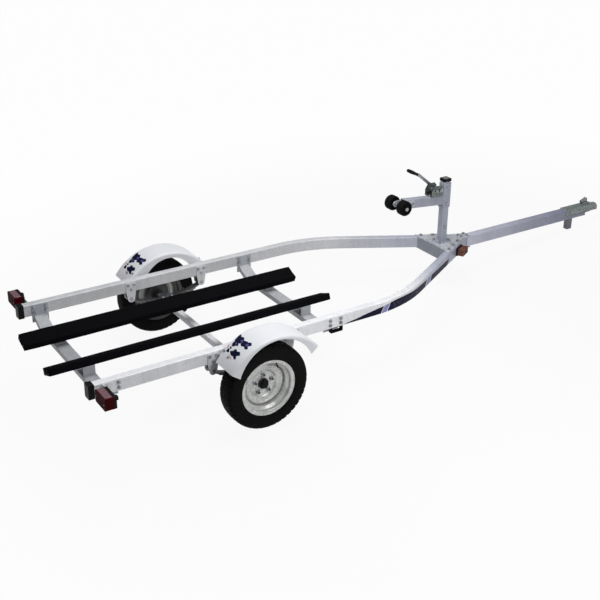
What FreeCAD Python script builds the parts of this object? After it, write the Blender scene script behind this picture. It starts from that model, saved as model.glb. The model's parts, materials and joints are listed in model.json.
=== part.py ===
import FreeCAD, Part
import Sketcher
import math
import os
import re

# A single-axle trailer for a personal watercraft or a small dinghy.
# The trailer is drawn level: X runs forward from the axle to the coupler,
# Y to the left and Z up, with the wheels standing on Z = 0.
# park() then sets it nose down on its front foot, the way it is parked.

Vector = FreeCAD.Vector
LEFT = 1
RIGHT = -1
SIDES = {"left": LEFT, "right": RIGHT}

# All lengths are in millimetres and all angles in degrees.
SIZES = {
    # Wheels and axle
    "wheel_radius": 260, "tyre_width": 122, "tyre_wall": 9, "tread_depth": 10, "wheel_stand_off": 132,
    "rim_seat_radius": 152.2, "rim_flange_radius": 172, "rim_half_width": 50, "rim_well_radius": 134,
    "rim_sheet": 3, "disc_sheet": 4, "disc_offset": 17, "pilot_radius": 31.5,
    "hub_flange_radius": 72, "hub_flange_thickness": 10, "hub_barrel_radius": 33, "hub_barrel_length": 58,
    "hub_nose_radius": 31, "hub_nose_length": 16, "stud_circle_radius": 57.15, "stud_radius": 6,
    "nut_radius": 11.5, "nut_height": 15, "stud_tip": 5,
    "cap_radius": 25, "cap_length": 17, "cap_seat": 9, "bearing_clearance": 0.05,
    "spindle_radius": 17.5, "spindle_thread_radius": 10, "collar_radius": 25, "collar_thickness": 6,
    "axle_size": 40, "axle_wall": 4, "spindle_run": 90, "tube_round": 6,
    # Side rails, tongue and neck
    "rail_width": 50, "rail_height": 76, "rail_wall": 3, "rail_outer_half": 573, "rail_centre_z": 440,
    "rail_rear_x": -978, "bend_start_x": 865, "bend_radius": 900, "bend_angle": 29.25,
    "rail_boot": 2.5, "rail_boot_length": 32,
    "tongue_width": 64, "tongue_wall": 3, "tongue_length": 1500,
    "neck_set_back": 308, "neck_beam_width": 50, "neck_plate": 6, "neck_plate_length": 335,
    "neck_plate_inset": 9, "neck_plate_rear_inset": 4,
    # Cross-members and bunks
    "cross_rear_x": -848, "cross_front_x": 576, "cross_width": 76, "cross_depth": 32, "cross_wall": 4,
    "cross_rise_run": 109, "cross_slope": 24, "cross_mid_z": 336, "cross_bend_radius": 60,
    "end_plate": 5, "end_plate_width": 104, "end_plate_drop": 80, "end_plate_rise": 32,
    "bunk_y": 201, "bunk_z": 415, "bunk_tilt": 21.9, "bunk_width": 108, "bunk_thickness": 45,
    "bunk_rear_x": -1073, "bunk_length": 1828, "bunk_edge": 9,
    "bracket_sheet": 5, "bracket_length": 70, "bracket_half_width": 43, "bracket_foot": 66,
    # Springs
    "leaf_thickness": 6, "leaf_width": 45, "leaf_flat": 80, "leaf_radius": 500, "leaf_count": 3,
    "leaf_step": 52, "eye_offset": 250, "eye_radius": 17, "hanger_sheet": 5, "hanger_rise": 28,
    "hanger_top_width": 66, "hanger_foot_radius": 24, "pin_radius": 7, "pin_head": 11.5, "pin_head_height": 8,
    "pin_clearance": 0.1, "ubolt_radius": 5, "tie_plate": 7, "ubolt_gap": 0.3, "ubolt_tip": 14,
    # Fenders
    "fender_x": 45, "fender_z": 226, "fender_radius": 352, "fender_sheet": 4, "fender_stand_off": 17,
    "fender_overhang": 19, "fender_skirt": 95, "fender_lip": 75, "fender_round": 16,
    "fender_front_angle": 40, "fender_rear_angle": 146,
    "skirt_arch_x": 51, "skirt_arch_z": 364, "skirt_arch_radius": 181,
    "lip_arch_x": 40, "lip_arch_z": 313, "lip_arch_radius": 247,
    "fender_arm_wall": 3, "fender_arm_height": 30, "fender_arm_length": 46,
    "fender_arm_rear_x": -190, "fender_arm_front_x": 258, "fender_arm_z": 438,
    # Lamps and straps
    "lamp_rear_x": -965, "lamp_stand_off": 57, "lamp_width": 130, "lamp_drop": 20, "lamp_height": 72,
    "lens_depth": 50, "lamp_base_depth": 15, "lamp_round": 9, "lamp_plate": 4, "lamp_foot": 54,
    "marker_distance": 190, "marker_length": 96, "marker_height": 50, "marker_depth": 54, "marker_base": 14,
    "loop_x": 596, "loop_length": 84, "loop_height": 40, "loop_width": 26, "loop_wall": 8,
    # Winch post
    "post_set_forward": 95, "post_size": 50, "post_wall": 3, "post_foot": 6, "post_foot_length": 104,
    "post_foot_width": 84, "post_top_z": 924, "post_cap_height": 20, "post_cap_lip": 3,
    "sleeve_wall": 5, "sleeve_below": 98, "sleeve_above": 76,
    "arm_size": 50, "arm_height": 64, "arm_slope": 5.5, "arm_seat_z": 838, "arm_reach": 365,
    "yoke_sheet": 6, "yoke_lap": 80, "yoke_low": 40, "yoke_high": 8, "seat_set_in": 12,
    "roller_reach": 36, "roller_drop": 14, "roller_radius": 50, "roller_width": 54, "roller_gap": 5.5,
    "roller_round": 10, "roller_hub_radius": 20, "roller_dish": 7,
    "roller_pin_radius": 8, "roller_pin_head": 13, "roller_pin_head_height": 7,
    # Winch
    "winch_gap": 18, "winch_length": 96, "drum_set_in": 38.5, "drum_height": 42, "winch_above_drum": 34,
    "winch_sheet": 3, "winch_half_width": 38, "tooth_module": 1.5, "gear_teeth": 40, "pinion_teeth": 10,
    "gear_width": 8, "gear_y": 26, "drum_radius": 14, "drum_flange_radius": 26, "drum_flange": 3,
    "drum_flange_y": -22, "drum_pin_radius": 7, "shaft_radius": 6, "shaft_left_y": 58, "shaft_right_y": -50,
    "ratchet_radius": 17, "ratchet_root": 13, "ratchet_teeth": 14, "ratchet_y": -46, "ratchet_width": 4,
    "crank_y": 48, "crank_thickness": 6, "crank_width": 20, "crank_length": 157, "crank_angle": 140.7,
    "grip_radius": 13, "grip_start_y": 60, "grip_length": 120, "grip_pin_radius": 5,
    "pawl_set_forward": 5.5, "pawl_rise": 26, "pawl_length": 15, "pawl_width": 9,
    # Coupler and foot
    "coupler_lap": 208, "coupler_sheet": 4, "coupler_skirt": 46, "throat_set_forward": 40,
    "ball_set_forward": 110, "ball_rise": 6, "ball_radius": 25.4, "ball_clearance": 0.3, "socket_wall": 8,
    "socket_lip": 16, "latch_set_forward": 16, "latch_height": 54, "latch_width": 20,
    "foot_set_back": 145, "foot_length": 50, "foot_width": 40, "foot_wall": 3, "foot_bottom_z": 317,
}

# Sizes that follow from others, each by its own formula, also kept in the sheet
DERIVED = {
    "rail_y": "rail_outer_half - rail_width/2",
    "rail_arc_x": "bend_radius*sin(bend_angle)",
    "rail_arc_y": "bend_radius*(1 - cos(bend_angle))",
    # Where the rail's centreline would meet the trailer's middle
    "rail_meet_x": "bend_start_x + rail_arc_x + (rail_y - rail_arc_y)/tan(bend_angle)",
    "half_track": "rail_outer_half + wheel_stand_off",
    "axle_half_length": "half_track - spindle_run",
    # Along the hub, outward from the wheel's middle plane
    "hub_nose_y": "hub_nose_length - disc_offset",
    "cap_seat_y": "hub_nose_y - cap_seat",
    "hanger_top_z": "rail_centre_z + hanger_rise",
    "cross_flat_half": "rail_outer_half - rail_width - cross_rise_run",
    "end_plate_bottom_z": "rail_centre_z - end_plate_drop",
    "end_plate_top_z": "rail_centre_z + end_plate_rise",
    "fender_inner_y": "rail_outer_half + fender_stand_off",
    "fender_outer_y": "half_track + tyre_width/2 + fender_overhang",
    "lamp_inner_y": "rail_outer_half + lamp_stand_off",
    "lamp_outer_y": "lamp_inner_y + lamp_width",
    "lamp_bottom_z": "rail_centre_z - lamp_drop",
    "lamp_top_z": "lamp_bottom_z + lamp_height",
    "neck_beam_x": "rail_meet_x - neck_set_back",
    "neck_plate_front_x": "neck_beam_x + neck_plate_length",
    "tongue_front_x": "neck_beam_x + tongue_length",
    "post_x": "neck_beam_x + post_set_forward",
    "sleeve_bottom_z": "arm_seat_z - sleeve_below",
    "sleeve_top_z": "arm_seat_z + sleeve_above",
    "arm_rear_x": "post_x - arm_reach",
    "yoke_front_x": "arm_rear_x + yoke_lap",
    "roller_x": "arm_rear_x - roller_reach",
    "roller_z": "arm_seat_z - roller_drop",
    "winch_front_x": "post_x - post_size/2 - sleeve_wall - winch_gap",
    "winch_rear_x": "winch_front_x - winch_length",
    "winch_x": "winch_rear_x + drum_set_in",
    "winch_z": "arm_seat_z + drum_height",
    "winch_top_z": "winch_z + winch_above_drum",
    "pawl_x": "winch_x + pawl_set_forward",
    "pawl_z": "winch_z + pawl_rise",
    "coupler_rear_x": "tongue_front_x - coupler_lap",
    "throat_x": "tongue_front_x + throat_set_forward",
    "ball_x": "tongue_front_x + ball_set_forward",
    "ball_z": "rail_centre_z + ball_rise",
    "latch_x": "tongue_front_x + latch_set_forward",
    "foot_x": "tongue_front_x - foot_set_back",
}

# Places written out where they are used
RAIL_INNER = "(rail_outer_half - rail_width)"
RAIL_TOP = "(rail_centre_z + rail_height/2)"
RAIL_BOTTOM = "(rail_centre_z - rail_height/2)"
AXLE_TOP = "(wheel_radius + axle_size/2)"
LEAF_TOP = "(" + AXLE_TOP + " + leaf_count*leaf_thickness)"
EYE_SWING = "(leaf_radius + leaf_thickness - eye_radius)"
EYE_ANGLE = "(asin((eye_offset - leaf_flat/2)/" + EYE_SWING + ")/1deg)"
EYE_Z = "(" + LEAF_TOP + " + leaf_radius - " + EYE_SWING + "*cos(" + EYE_ANGLE + "))"
CROSS_TOP = "(cross_mid_z + cross_depth/2)"
POST_FOOT_Z = "(" + RAIL_TOP + " + neck_plate)"
ARM_TOP = "arm_seat_z"
SHAFT_X = "(winch_x + tooth_module*(gear_teeth + pinion_teeth)/2)"

DOC = FreeCAD.newDocument("boat_trailer")
SHEET = DOC.addObject("Spreadsheet::Sheet", "Sizes")
PIECES = {}


def fill_sheet():
    """Write each size, and then each formula that builds on them, in a row of its own."""
    sizes = {name: str(size) for name, size in SIZES.items()}
    formulas = {name: "=" + text for name, text in DERIVED.items()}
    for row, (name, content) in enumerate({**sizes, **formulas}.items(), 1):
        SHEET.set("A" + str(row), name)
        SHEET.set("B" + str(row), content)
        SHEET.setAlias("B" + str(row), name)
    DOC.recompute()


def formula(text):
    """The text with each size's name pointing into the sheet."""
    return re.sub(r"[A-Za-z_]\w*", lambda word: "Sizes." + word.group(0)
                  if word.group(0) in SIZES or word.group(0) in DERIVED else word.group(0), str(text))


def value(text):
    return float(SHEET.evalExpression(formula(text)))


def bind(thing, **formulas):
    for name, text in formulas.items():
        thing.setExpression(name, formula(text))
    return thing


def place(thing, x="0", y="0", z="0"):
    for axis, text in (("x", x), ("y", y), ("z", z)):
        thing.setExpression("Placement.Base." + axis, formula(text))
    return thing


def keep(name, thing):
    """Name a finished piece of the trailer."""
    thing.Label = name
    PIECES[name] = thing
    return thing


# Plain solids, bound to the sheet

def box(name, x, y, z):
    """A block between low and high formulas along each axis."""
    solid = DOC.addObject("Part::Box", name)
    for size, (low, high) in zip(("Length", "Width", "Height"), (x, y, z)):
        solid.setExpression(size, formula(f"({high}) - ({low})"))
    return place(solid, x[0], y[0], z[0])


def cylinder(name, axis, centre, radius, low, high):
    """A rod along Y or Z between low and high, round a centre on the other two axes."""
    solid = DOC.addObject("Part::Cylinder", name)
    bind(solid, Radius=radius, Height=f"({high}) - ({low})")
    if axis == "y":
        solid.Placement = FreeCAD.Placement(Vector(), FreeCAD.Rotation(Vector(1, 0, 0), -90))
        return place(solid, centre[0], low, centre[1])
    return place(solid, centre[0], centre[1], low)


def hexagon(name, centre, radius, low, high):
    """A six-sided nut or bolt head along Y."""
    solid = DOC.addObject("Part::Prism", name)
    solid.Polygon = 6
    bind(solid, Circumradius=radius, Height=f"({high}) - ({low})")
    solid.Placement = FreeCAD.Placement(Vector(), FreeCAD.Rotation(Vector(1, 0, 0), -90))
    return place(solid, centre[0], low, centre[1])


def fuse(name, *solids):
    joined = DOC.addObject("Part::MultiFuse", name)
    joined.Shapes = list(solids)
    return joined


def cut(name, base, *tools):
    result = DOC.addObject("Part::Cut", name)
    result.Base = base
    result.Tool = tools[0] if len(tools) == 1 else fuse(name + "_tools", *tools)
    return result


def common(name, base, tool):
    result = DOC.addObject("Part::Common", name)
    result.Base = base
    result.Tool = tool
    return result


def group(name, *solids):
    """Like pieces on one body, side by side without touching."""
    together = DOC.addObject("Part::Compound", name)
    together.Links = list(solids)
    return together


# Sketched solids

def origin_plane(body, role):
    return [feature for feature in body.Origin.OriginFeatures if feature.Role == role][0]


def new_sketch(body, name, plane):
    sketch = body.newObject("Sketcher::SketchObject", name)
    sketch.AttachmentSupport = [(origin_plane(body, plane), "")]
    sketch.MapMode = "FlatFace"
    return sketch


def point(pair):
    return Vector(value(pair[0]), value(pair[1]), 0)


def draw(sketch, start, steps, closed=True):
    """Draw lines and arcs from start. A step is an end point, or a mid point and an end point.

    Every end point is tied to the sheet by its distances from the sketch's origin."""
    corner = point(start)
    drawn = []
    for step in steps:
        end = point(step[-1])
        if len(step) == 1:
            edge = Part.LineSegment(corner, end)
        else:
            edge = Part.Arc(corner, point(step[0]), end)
        drawn.append((sketch.addGeometry(edge, False), step[-1], end))
        corner = end
    for index, (edge, formulas, end) in enumerate(drawn):
        which = end_of(sketch, edge, end)
        if closed or index + 1 < len(drawn):
            follower = drawn[(index + 1) % len(drawn)][0]
            sketch.addConstraint(Sketcher.Constraint(
                "Coincident", edge, which, follower, end_of(sketch, follower, end)))
        tie(sketch, edge, which, formulas, end)
    if not closed:
        tie(sketch, drawn[0][0], end_of(sketch, drawn[0][0], point(start)), start, point(start))
    return sketch


def end_of(sketch, edge, spot):
    """Which end of a drawn edge lies at the spot: 1 for its start, 2 for its end."""
    return 1 if (sketch.getPoint(edge, 1) - spot).Length < (sketch.getPoint(edge, 2) - spot).Length else 2


def tie(sketch, edge, which, formulas, spot):
    for kind, text, distance in (("DistanceX", formulas[0], spot.x), ("DistanceY", formulas[1], spot.y)):
        index = sketch.addConstraint(Sketcher.Constraint(kind, -1, 1, edge, which, distance))
        sketch.setExpression(f"Constraints[{index}]", formula(text))


def new_body(name):
    return DOC.addObject("PartDesign::Body", name)


def pad(body, sketch, length, midplane=False, flip=False):
    feature = body.newObject("PartDesign::Pad", sketch.Name + "_pad")
    feature.Profile = sketch
    feature.Midplane = midplane
    feature.Reversed = flip
    return bind(feature, Length=length)


def revolve(body, sketch, angle="360", flip=False):
    """Turn a sketch on the XY plane about the Y axis."""
    feature = body.newObject("PartDesign::Revolution", sketch.Name + "_turn")
    feature.Profile = sketch
    feature.ReferenceAxis = (sketch, ["V_Axis"])
    feature.Reversed = flip
    return bind(feature, Angle=angle)


def turned(name, outline):
    """A body turned about its own Y axis from one outline of (radius, y) points."""
    body = new_body(name + "_body")
    revolve(body, draw(new_sketch(body, name + "_section", "XY_Plane"), outline[0], outline[1:]))
    return body


def lines(*points):
    """A closed outline of straight edges."""
    return [points[0]] + [(p,) for p in points[1:]] + [(points[0],)]


def plate(name, plane, outline, thickness, start="0"):
    """A sheet cut to an outline on the XZ or XY plane, from start along the plane's normal."""
    body = new_body(name + "_body")
    sketch = draw(new_sketch(body, name + "_outline", plane), outline[0], outline[1:])
    pad(body, sketch, thickness, flip=(plane == "XZ_Plane"))
    return place(body, y=start) if plane == "XZ_Plane" else place(body, z=start)


def mirrored(name, solid):
    """The same piece on the other side of the trailer's middle."""
    mirror = DOC.addObject("Part::Mirroring", name)
    mirror.Source = solid
    mirror.Normal = Vector(0, 1, 0)
    return mirror


# The frame

def rail(name, side):
    """A rectangular tube, straight beside the wheels and bent in to the tongue."""
    body = new_body(name + "_body")
    straight = "(bend_start_x - rail_rear_x)"
    path = new_sketch(body, name + "_path", "XY_Plane")
    draw(path, ("0", "0"), [
        ((straight, "0"),),
        ((f"{straight} + bend_radius*sin(bend_angle/2)", f"{-side}*bend_radius*(1 - cos(bend_angle/2))"),
         (f"{straight} + rail_arc_x", f"{-side}*rail_arc_y")),
        (("rail_meet_x - rail_rear_x", f"{-side}*rail_y"),)], closed=False)
    section = new_sketch(body, name + "_section", "YZ_Plane")
    draw_tube(section, "rail_width", "rail_height", "rail_wall")
    sweep = body.newObject("PartDesign::AdditivePipe", name + "_sweep")
    sweep.Profile = section
    sweep.Spine = (path, ["Edge1", "Edge2", "Edge3"])
    place(body, "rail_rear_x", f"{side}*rail_y", "rail_centre_z")
    far = f"{-side}*rail_outer_half"
    near = f"{side}*tongue_width/2"
    low, high = (far, near) if side == LEFT else (near, far)
    mitre = box(name + "_mitre", ("bend_start_x", "rail_meet_x + rail_outer_half"), (low, high),
                (RAIL_BOTTOM + " - 1", RAIL_TOP + " + 1"))
    return keep(name, cut(name + "_cut", body, mitre))


def rounded_outline(half_width, half_height, radius):
    """A rectangle with rounded corners about the sketch's origin, as a start and steps to draw."""
    corner = f"({radius}*(1 - cos(45)))"
    order = [((1, -1), (-1, 0), (0, 1)), ((1, 1), (0, -1), (-1, 0)),
             ((-1, 1), (1, 0), (0, -1)), ((-1, -1), (0, 1), (1, 0))]
    steps = []
    for (across, up), before, after in order:
        u, v = f"{across}*{half_width}", f"{up}*{half_height}"
        steps.append(((f"{u} + {before[0]}*{radius}", f"{v} + {before[1]}*{radius}"),))
        steps.append(((f"{u} + {before[0] + after[0]}*{corner}", f"{v} + {before[1] + after[1]}*{corner}"),
                      (f"{u} + {after[0]}*{radius}", f"{v} + {after[1]}*{radius}")))
    return steps[-1][-1], steps


def draw_tube(sketch, width, height, wall):
    """The outer and the inner outline of a drawn tube."""
    for inset in ("0", wall):
        start, steps = rounded_outline(f"({width}/2 - {inset})", f"({height}/2 - {inset})", f"(tube_round - {inset})")
        draw(sketch, start, steps)


def round_tube(name, along, centre, size, ends, wall):
    """A straight tube with rounded corners, open at both ends, given by its centre and size across an axis."""
    body = new_body(name + "_body")
    plane = {"x": "YZ_Plane", "y": "XZ_Plane", "z": "XY_Plane"}[along]
    sketch = new_sketch(body, name + "_section", plane)
    draw_tube(sketch, size[0], size[1], wall)
    pad(body, sketch, f"({ends[1]}) - ({ends[0]})", flip=(along == "y"))
    spot = list(centre)
    spot.insert("xyz".index(along), ends[0])
    return place(body, *spot)


def lean(item, angle):
    """Turn a placed piece about Y, so that its front goes down by an angle of the sheet."""
    item.Placement = FreeCAD.Placement(item.Placement.Base, FreeCAD.Rotation(Vector(0, 1, 0), value(angle)))


def rail_boot(name, side):
    """A moulded boot pushed over the rail's open rear end."""
    grow = "rail_boot"
    outside = box(name + "_outside", (f"rail_rear_x - {grow}", "rail_rear_x + rail_boot_length"),
                  (f"{side}*rail_y - rail_width/2 - {grow}", f"{side}*rail_y + rail_width/2 + {grow}"),
                  (f"{RAIL_BOTTOM} - {grow}", f"{RAIL_TOP} + {grow}"))
    pocket = box(name + "_pocket", ("rail_rear_x", "rail_rear_x + 2*rail_boot_length"),
                 (f"{side}*rail_y - rail_width/2", f"{side}*rail_y + rail_width/2"), (RAIL_BOTTOM, RAIL_TOP))
    return cut(name, outside, pocket)


def square_tube(name, x, y, z, wall, along):
    """A straight rectangular tube, open at both ends along one axis."""
    ranges = {"x": x, "y": y, "z": z}
    inside = {axis: (low, high) if axis == along else (f"({low}) + {wall}", f"({high}) - {wall}")
              for axis, (low, high) in ranges.items()}
    return cut(name, box(name + "_outside", x, y, z),
               box(name + "_inside", inside["x"], inside["y"], inside["z"]))


def rail_inner_y(x):
    """Where the inner face of the bent rail lies at a place along the trailer."""
    return f"((rail_meet_x - ({x}))*tan(bend_angle) - rail_width/2/cos(bend_angle))"


def neck():
    """The beam behind the tongue, and the two plates that tie rails, beam and tongue together."""
    rear = "neck_beam_x"
    front = "(neck_beam_x + neck_beam_width)"
    body = new_body("neck_beam_body")
    outline = lines((rear, "-" + rail_inner_y(rear)), (front, "-" + rail_inner_y(front)),
                    (front, rail_inner_y(front)), (rear, rail_inner_y(rear)))
    pad(body, draw(new_sketch(body, "neck_beam_outline", "XY_Plane"), outline[0], outline[1:]), "rail_height")
    place(body, z=RAIL_BOTTOM)
    inside = box("neck_beam_inside", (rear + " + rail_wall", front + " - rail_wall"),
                 ("-rail_y", "rail_y"), (RAIL_BOTTOM + " + rail_wall", RAIL_TOP + " - rail_wall"))
    keep("neck_beam", cut("neck_beam_cut", body, inside))
    keep("neck_plates", group("neck_plate_pair", neck_plate("neck_plate_top", RAIL_TOP),
                              neck_plate("neck_plate_bottom", RAIL_BOTTOM + " - neck_plate")))
    keep("tongue_tube", round_tube("tongue", "x", ("0", "rail_centre_z"), ("tongue_width", "rail_height"),
                                   (front, "tongue_front_x"), "tongue_wall"))


def neck_plate(name, z):
    rear = "(neck_beam_x + neck_plate_rear_inset)"
    half_rear = f"({rail_inner_y(rear)} + (rail_width - neck_plate_inset)/cos(bend_angle))"
    half_front = "(tongue_width/2 + neck_plate_inset/2)"
    bend_x = f"({rear} + ({half_rear} - {half_front})/tan(bend_angle))"
    outline = lines((rear, "-" + half_rear), (bend_x, "-" + half_front),
                    ("neck_plate_front_x", "-" + half_front), ("neck_plate_front_x", half_front),
                    (bend_x, half_front), (rear, half_rear))
    return plate(name, "XY_Plane", outline, "neck_plate", z)


# Cross-members and bunks

def crossmember(name, x):
    """A downward channel with its ends cranked up to the rails, on a plate at each end."""
    body = new_body(name + "_body")
    setback = "(cross_bend_radius*tan(cross_slope/2))"
    sine = "sin(cross_slope)"
    cosine = "cos(cross_slope)"
    run = f"({RAIL_INNER} - cross_flat_half + cross_depth)"
    path = new_sketch(body, name + "_path", "YZ_Plane")
    draw(path, ("0", "0"), [
        ((f"cross_flat_half - {setback}", "0"),),
        ((f"cross_flat_half - {setback} + cross_bend_radius*sin(cross_slope/2)",
          "cross_bend_radius*(1 - cos(cross_slope/2))"),
         (f"cross_flat_half + {setback}*{cosine}", f"{setback}*{sine}")),
        ((f"cross_flat_half + {run}", f"{run}*tan(cross_slope)"),)], closed=False)
    section = new_sketch(body, name + "_section", "XZ_Plane")
    half, inner = "cross_width/2", "(cross_width/2 - cross_wall)"
    top, low = "cross_depth/2", "-cross_depth/2"
    outline = lines(("-" + half, low), ("-" + inner, low), ("-" + inner, top + " - cross_wall"),
                    (inner, top + " - cross_wall"), (inner, low), (half, low), (half, top), ("-" + half, top))
    draw(section, outline[0], outline[1:])
    sweep = body.newObject("PartDesign::AdditivePipe", name + "_sweep")
    sweep.Profile = section
    sweep.Spine = (path, ["Edge1", "Edge2", "Edge3"])
    mirror = body.newObject("PartDesign::Mirrored", name + "_mirror")
    mirror.Originals = [sweep]
    mirror.MirrorPlane = (origin_plane(body, "XZ_Plane"), [""])
    body.Tip = mirror
    place(body, x, z="cross_mid_z")
    end = f"({RAIL_INNER} - end_plate)"
    trim = box(name + "_trim", (f"{x} - cross_width", f"{x} + cross_width"), ("-" + end, end),
               ("cross_mid_z - cross_width", RAIL_TOP + " + cross_width"))
    return keep(name, common(name + "_common", body, trim))


def end_plates(name, x):
    plates = []
    for word, side in SIDES.items():
        low = f"{RAIL_INNER} - end_plate" if side == LEFT else f"-{RAIL_INNER}"
        plates.append(box(f"{name}_{word}", (f"{x} - end_plate_width/2", f"{x} + end_plate_width/2"),
                          (low, f"{low} + end_plate"), ("end_plate_bottom_z", "end_plate_top_z")))
    return plates


def along_bunk(across, up):
    """A point of the left bunk's cross-section, from its centre, as (y, z) formulas."""
    return (f"(bunk_y + ({across})*cos(bunk_tilt) - ({up})*sin(bunk_tilt))",
            f"(bunk_z + ({across})*sin(bunk_tilt) + ({up})*cos(bunk_tilt))")


def bunk():
    """A carpet-wrapped board, tilted in to the hull that lies on it."""
    body = new_body("bunk_body")
    half, low, top = "bunk_width/2", "(-bunk_thickness/2)", "(bunk_thickness/2)"
    nose = "(bunk_edge*(1 - cos(45)))"
    corners = [(f"-{half}", low, 1, 1), (half, low, -1, 1), (half, top, -1, -1), (f"-{half}", top, 1, -1)]
    steps = []
    start = along_bunk(f"-{half} + bunk_edge", low)
    order = [((half, low), (-1, 0), (0, 1)), ((half, top), (0, -1), (-1, 0)),
             ((f"-{half}", top), (1, 0), (0, -1)), ((f"-{half}", low), (0, 1), (1, 0))]
    for (across, up), before, after in order:
        inward = (before[0] + after[0], before[1] + after[1])
        steps.append((along_bunk(f"{across} + {before[0]}*bunk_edge", f"{up} + {before[1]}*bunk_edge"),))
        steps.append((along_bunk(f"{across} + {inward[0]}*{nose}", f"{up} + {inward[1]}*{nose}"),
                      along_bunk(f"{across} + {after[0]}*bunk_edge", f"{up} + {after[1]}*bunk_edge")))
    sketch = draw(new_sketch(body, "bunk_outline", "YZ_Plane"), start, steps)
    pad(body, sketch, "bunk_length")
    place(body, "bunk_rear_x")
    keep("bunk_left", body)
    keep("bunk_right", mirrored("bunk_mirror", body))


def bunk_bracket(name, x):
    """A folded seat between a cross-member and the tilted bunk above it."""
    body = new_body(name + "_body")
    under = "(-bunk_thickness/2)"
    sheet = "bracket_sheet"
    outer_top = along_bunk("bracket_half_width", under)
    inner_top = along_bunk("-bracket_half_width", under)
    outer_low = along_bunk("bracket_half_width", f"{under} - {sheet}")
    inner_low = along_bunk("-bracket_half_width", f"{under} - {sheet}")
    web = f"({outer_low[0]} - {sheet})"
    fold = f"({outer_low[1]} - {sheet}*tan(bunk_tilt))"
    foot = f"({outer_low[0]} - bracket_foot)"
    outline = lines(outer_top, inner_top, inner_low, (web, fold), (web, f"{CROSS_TOP} + {sheet}"),
                    (foot, f"{CROSS_TOP} + {sheet}"), (foot, CROSS_TOP), (outer_low[0], CROSS_TOP), outer_low)
    sketch = draw(new_sketch(body, name + "_outline", "YZ_Plane"), outline[0], outline[1:])
    pad(body, sketch, "bracket_length", midplane=True)
    place(body, x)
    return [body, mirrored(name + "_mirror", body)]


# Axle, springs and wheels

def axle():
    keep("axle_beam", round_tube("axle_beam", "y", ("0", "wheel_radius"), ("axle_size", "axle_size"),
                                 ("-axle_half_length", "axle_half_length"), "axle_wall"))
    spindles = []
    for word, side in SIDES.items():
        collar = "axle_half_length + collar_thickness"
        seat = "half_track + cap_seat_y"
        tip = "half_track + hub_nose_y + cap_length - 10"
        outline = lines(("0", "axle_half_length"), ("collar_radius", "axle_half_length"),
                        ("collar_radius", collar), ("spindle_radius", collar),
                        ("spindle_radius", f"{seat} - 2"), ("spindle_thread_radius", seat),
                        ("spindle_thread_radius", f"{seat} + 5.5"),
                        ("spindle_thread_radius*1.5", f"{seat} + 5.5"),
                        ("spindle_thread_radius*1.5", tip), ("0", tip))
        body = turned("spindle_" + word, outline)
        place(body, z="wheel_radius")
        spindles.append(body if side == LEFT else mirrored("spindle_mirror", body))
    keep("spindles", group("spindle_pair", *spindles))


def spring(word, side):
    """Three leaves clamped on the axle, the longest rolled into an eye at each end."""
    leaves = []
    for number in range(int(value("leaf_count"))):
        leaves.append(leaf(f"leaf_{word}_{number}", number))
    eyes = []
    for end, sign in (("front", 1), ("rear", -1)):
        eye_x = f"{sign}*eye_offset"
        ring = cylinder(f"eye_{word}_{end}", "y", (eye_x, EYE_Z), "eye_radius", "-leaf_width/2", "leaf_width/2")
        hole = cylinder(f"eye_hole_{word}_{end}", "y", (eye_x, EYE_Z), "eye_radius - leaf_thickness",
                        "-leaf_width", "leaf_width")
        eyes.append((ring, hole))
    whole = fuse(f"spring_{word}_whole", *leaves, *(ring for ring, hole in eyes))
    spring_cut = cut(f"spring_{word}_cut", whole, *(hole for ring, hole in eyes))
    place(spring_cut, y=f"{side}*rail_y")
    keep("spring_" + word, spring_cut)


def leaf(name, number):
    """One leaf, flat on the axle and swept up in an arc at both ends."""
    body = new_body(name)
    centre_x = "(leaf_flat/2)"
    centre_z = f"({LEAF_TOP} + leaf_radius)"
    reach = f"({EYE_ANGLE} - {number}*leaf_step/leaf_radius*57.3)"
    upper = f"(leaf_radius + {number}*leaf_thickness)"
    lower = f"({upper} + leaf_thickness)"

    def at(sign, radius, angle):
        return (f"{sign}*({centre_x} + {radius}*sin({angle}))", f"{centre_z} - {radius}*cos({angle})")

    half = f"({reach}/2)"
    sketch = new_sketch(body, name + "_outline", "XZ_Plane")
    draw(sketch, at(-1, upper, "0"), [
        (at(1, upper, "0"),), (at(1, upper, half), at(1, upper, reach)), (at(1, lower, reach),),
        (at(1, lower, half), at(1, lower, "0")), (at(-1, lower, "0"),),
        (at(-1, lower, half), at(-1, lower, reach)), (at(-1, upper, reach),),
        (at(-1, upper, half), at(-1, upper, "0"))])
    pad(body, sketch, "leaf_width", midplane=True)
    return body


def hanger(name, x):
    """A plate on the rail's side that reaches down to a spring eye."""
    foot = "hanger_foot_radius"
    outline = [
        ("-hanger_top_width/2", "hanger_top_z"), ("-hanger_top_width/2", f"{RAIL_BOTTOM} + 10"),
        (f"-{foot}", EYE_Z)]
    steps = [(outline[1],), (outline[2],), (("0", f"{EYE_Z} - {foot}"), (foot, EYE_Z)),
             (("hanger_top_width/2", f"{RAIL_BOTTOM} + 10"),), (("hanger_top_width/2", "hanger_top_z"),),
             (outline[0],)]
    body = new_body(name)
    pad(body, draw(new_sketch(body, name + "_outline", "XZ_Plane"), outline[0], steps), "hanger_sheet")
    hole = cylinder(name + "_hole", "y", ("0", EYE_Z), "pin_radius + pin_clearance", "-50", "50")
    return place(cut(name + "_cut", body, hole), x)


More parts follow.
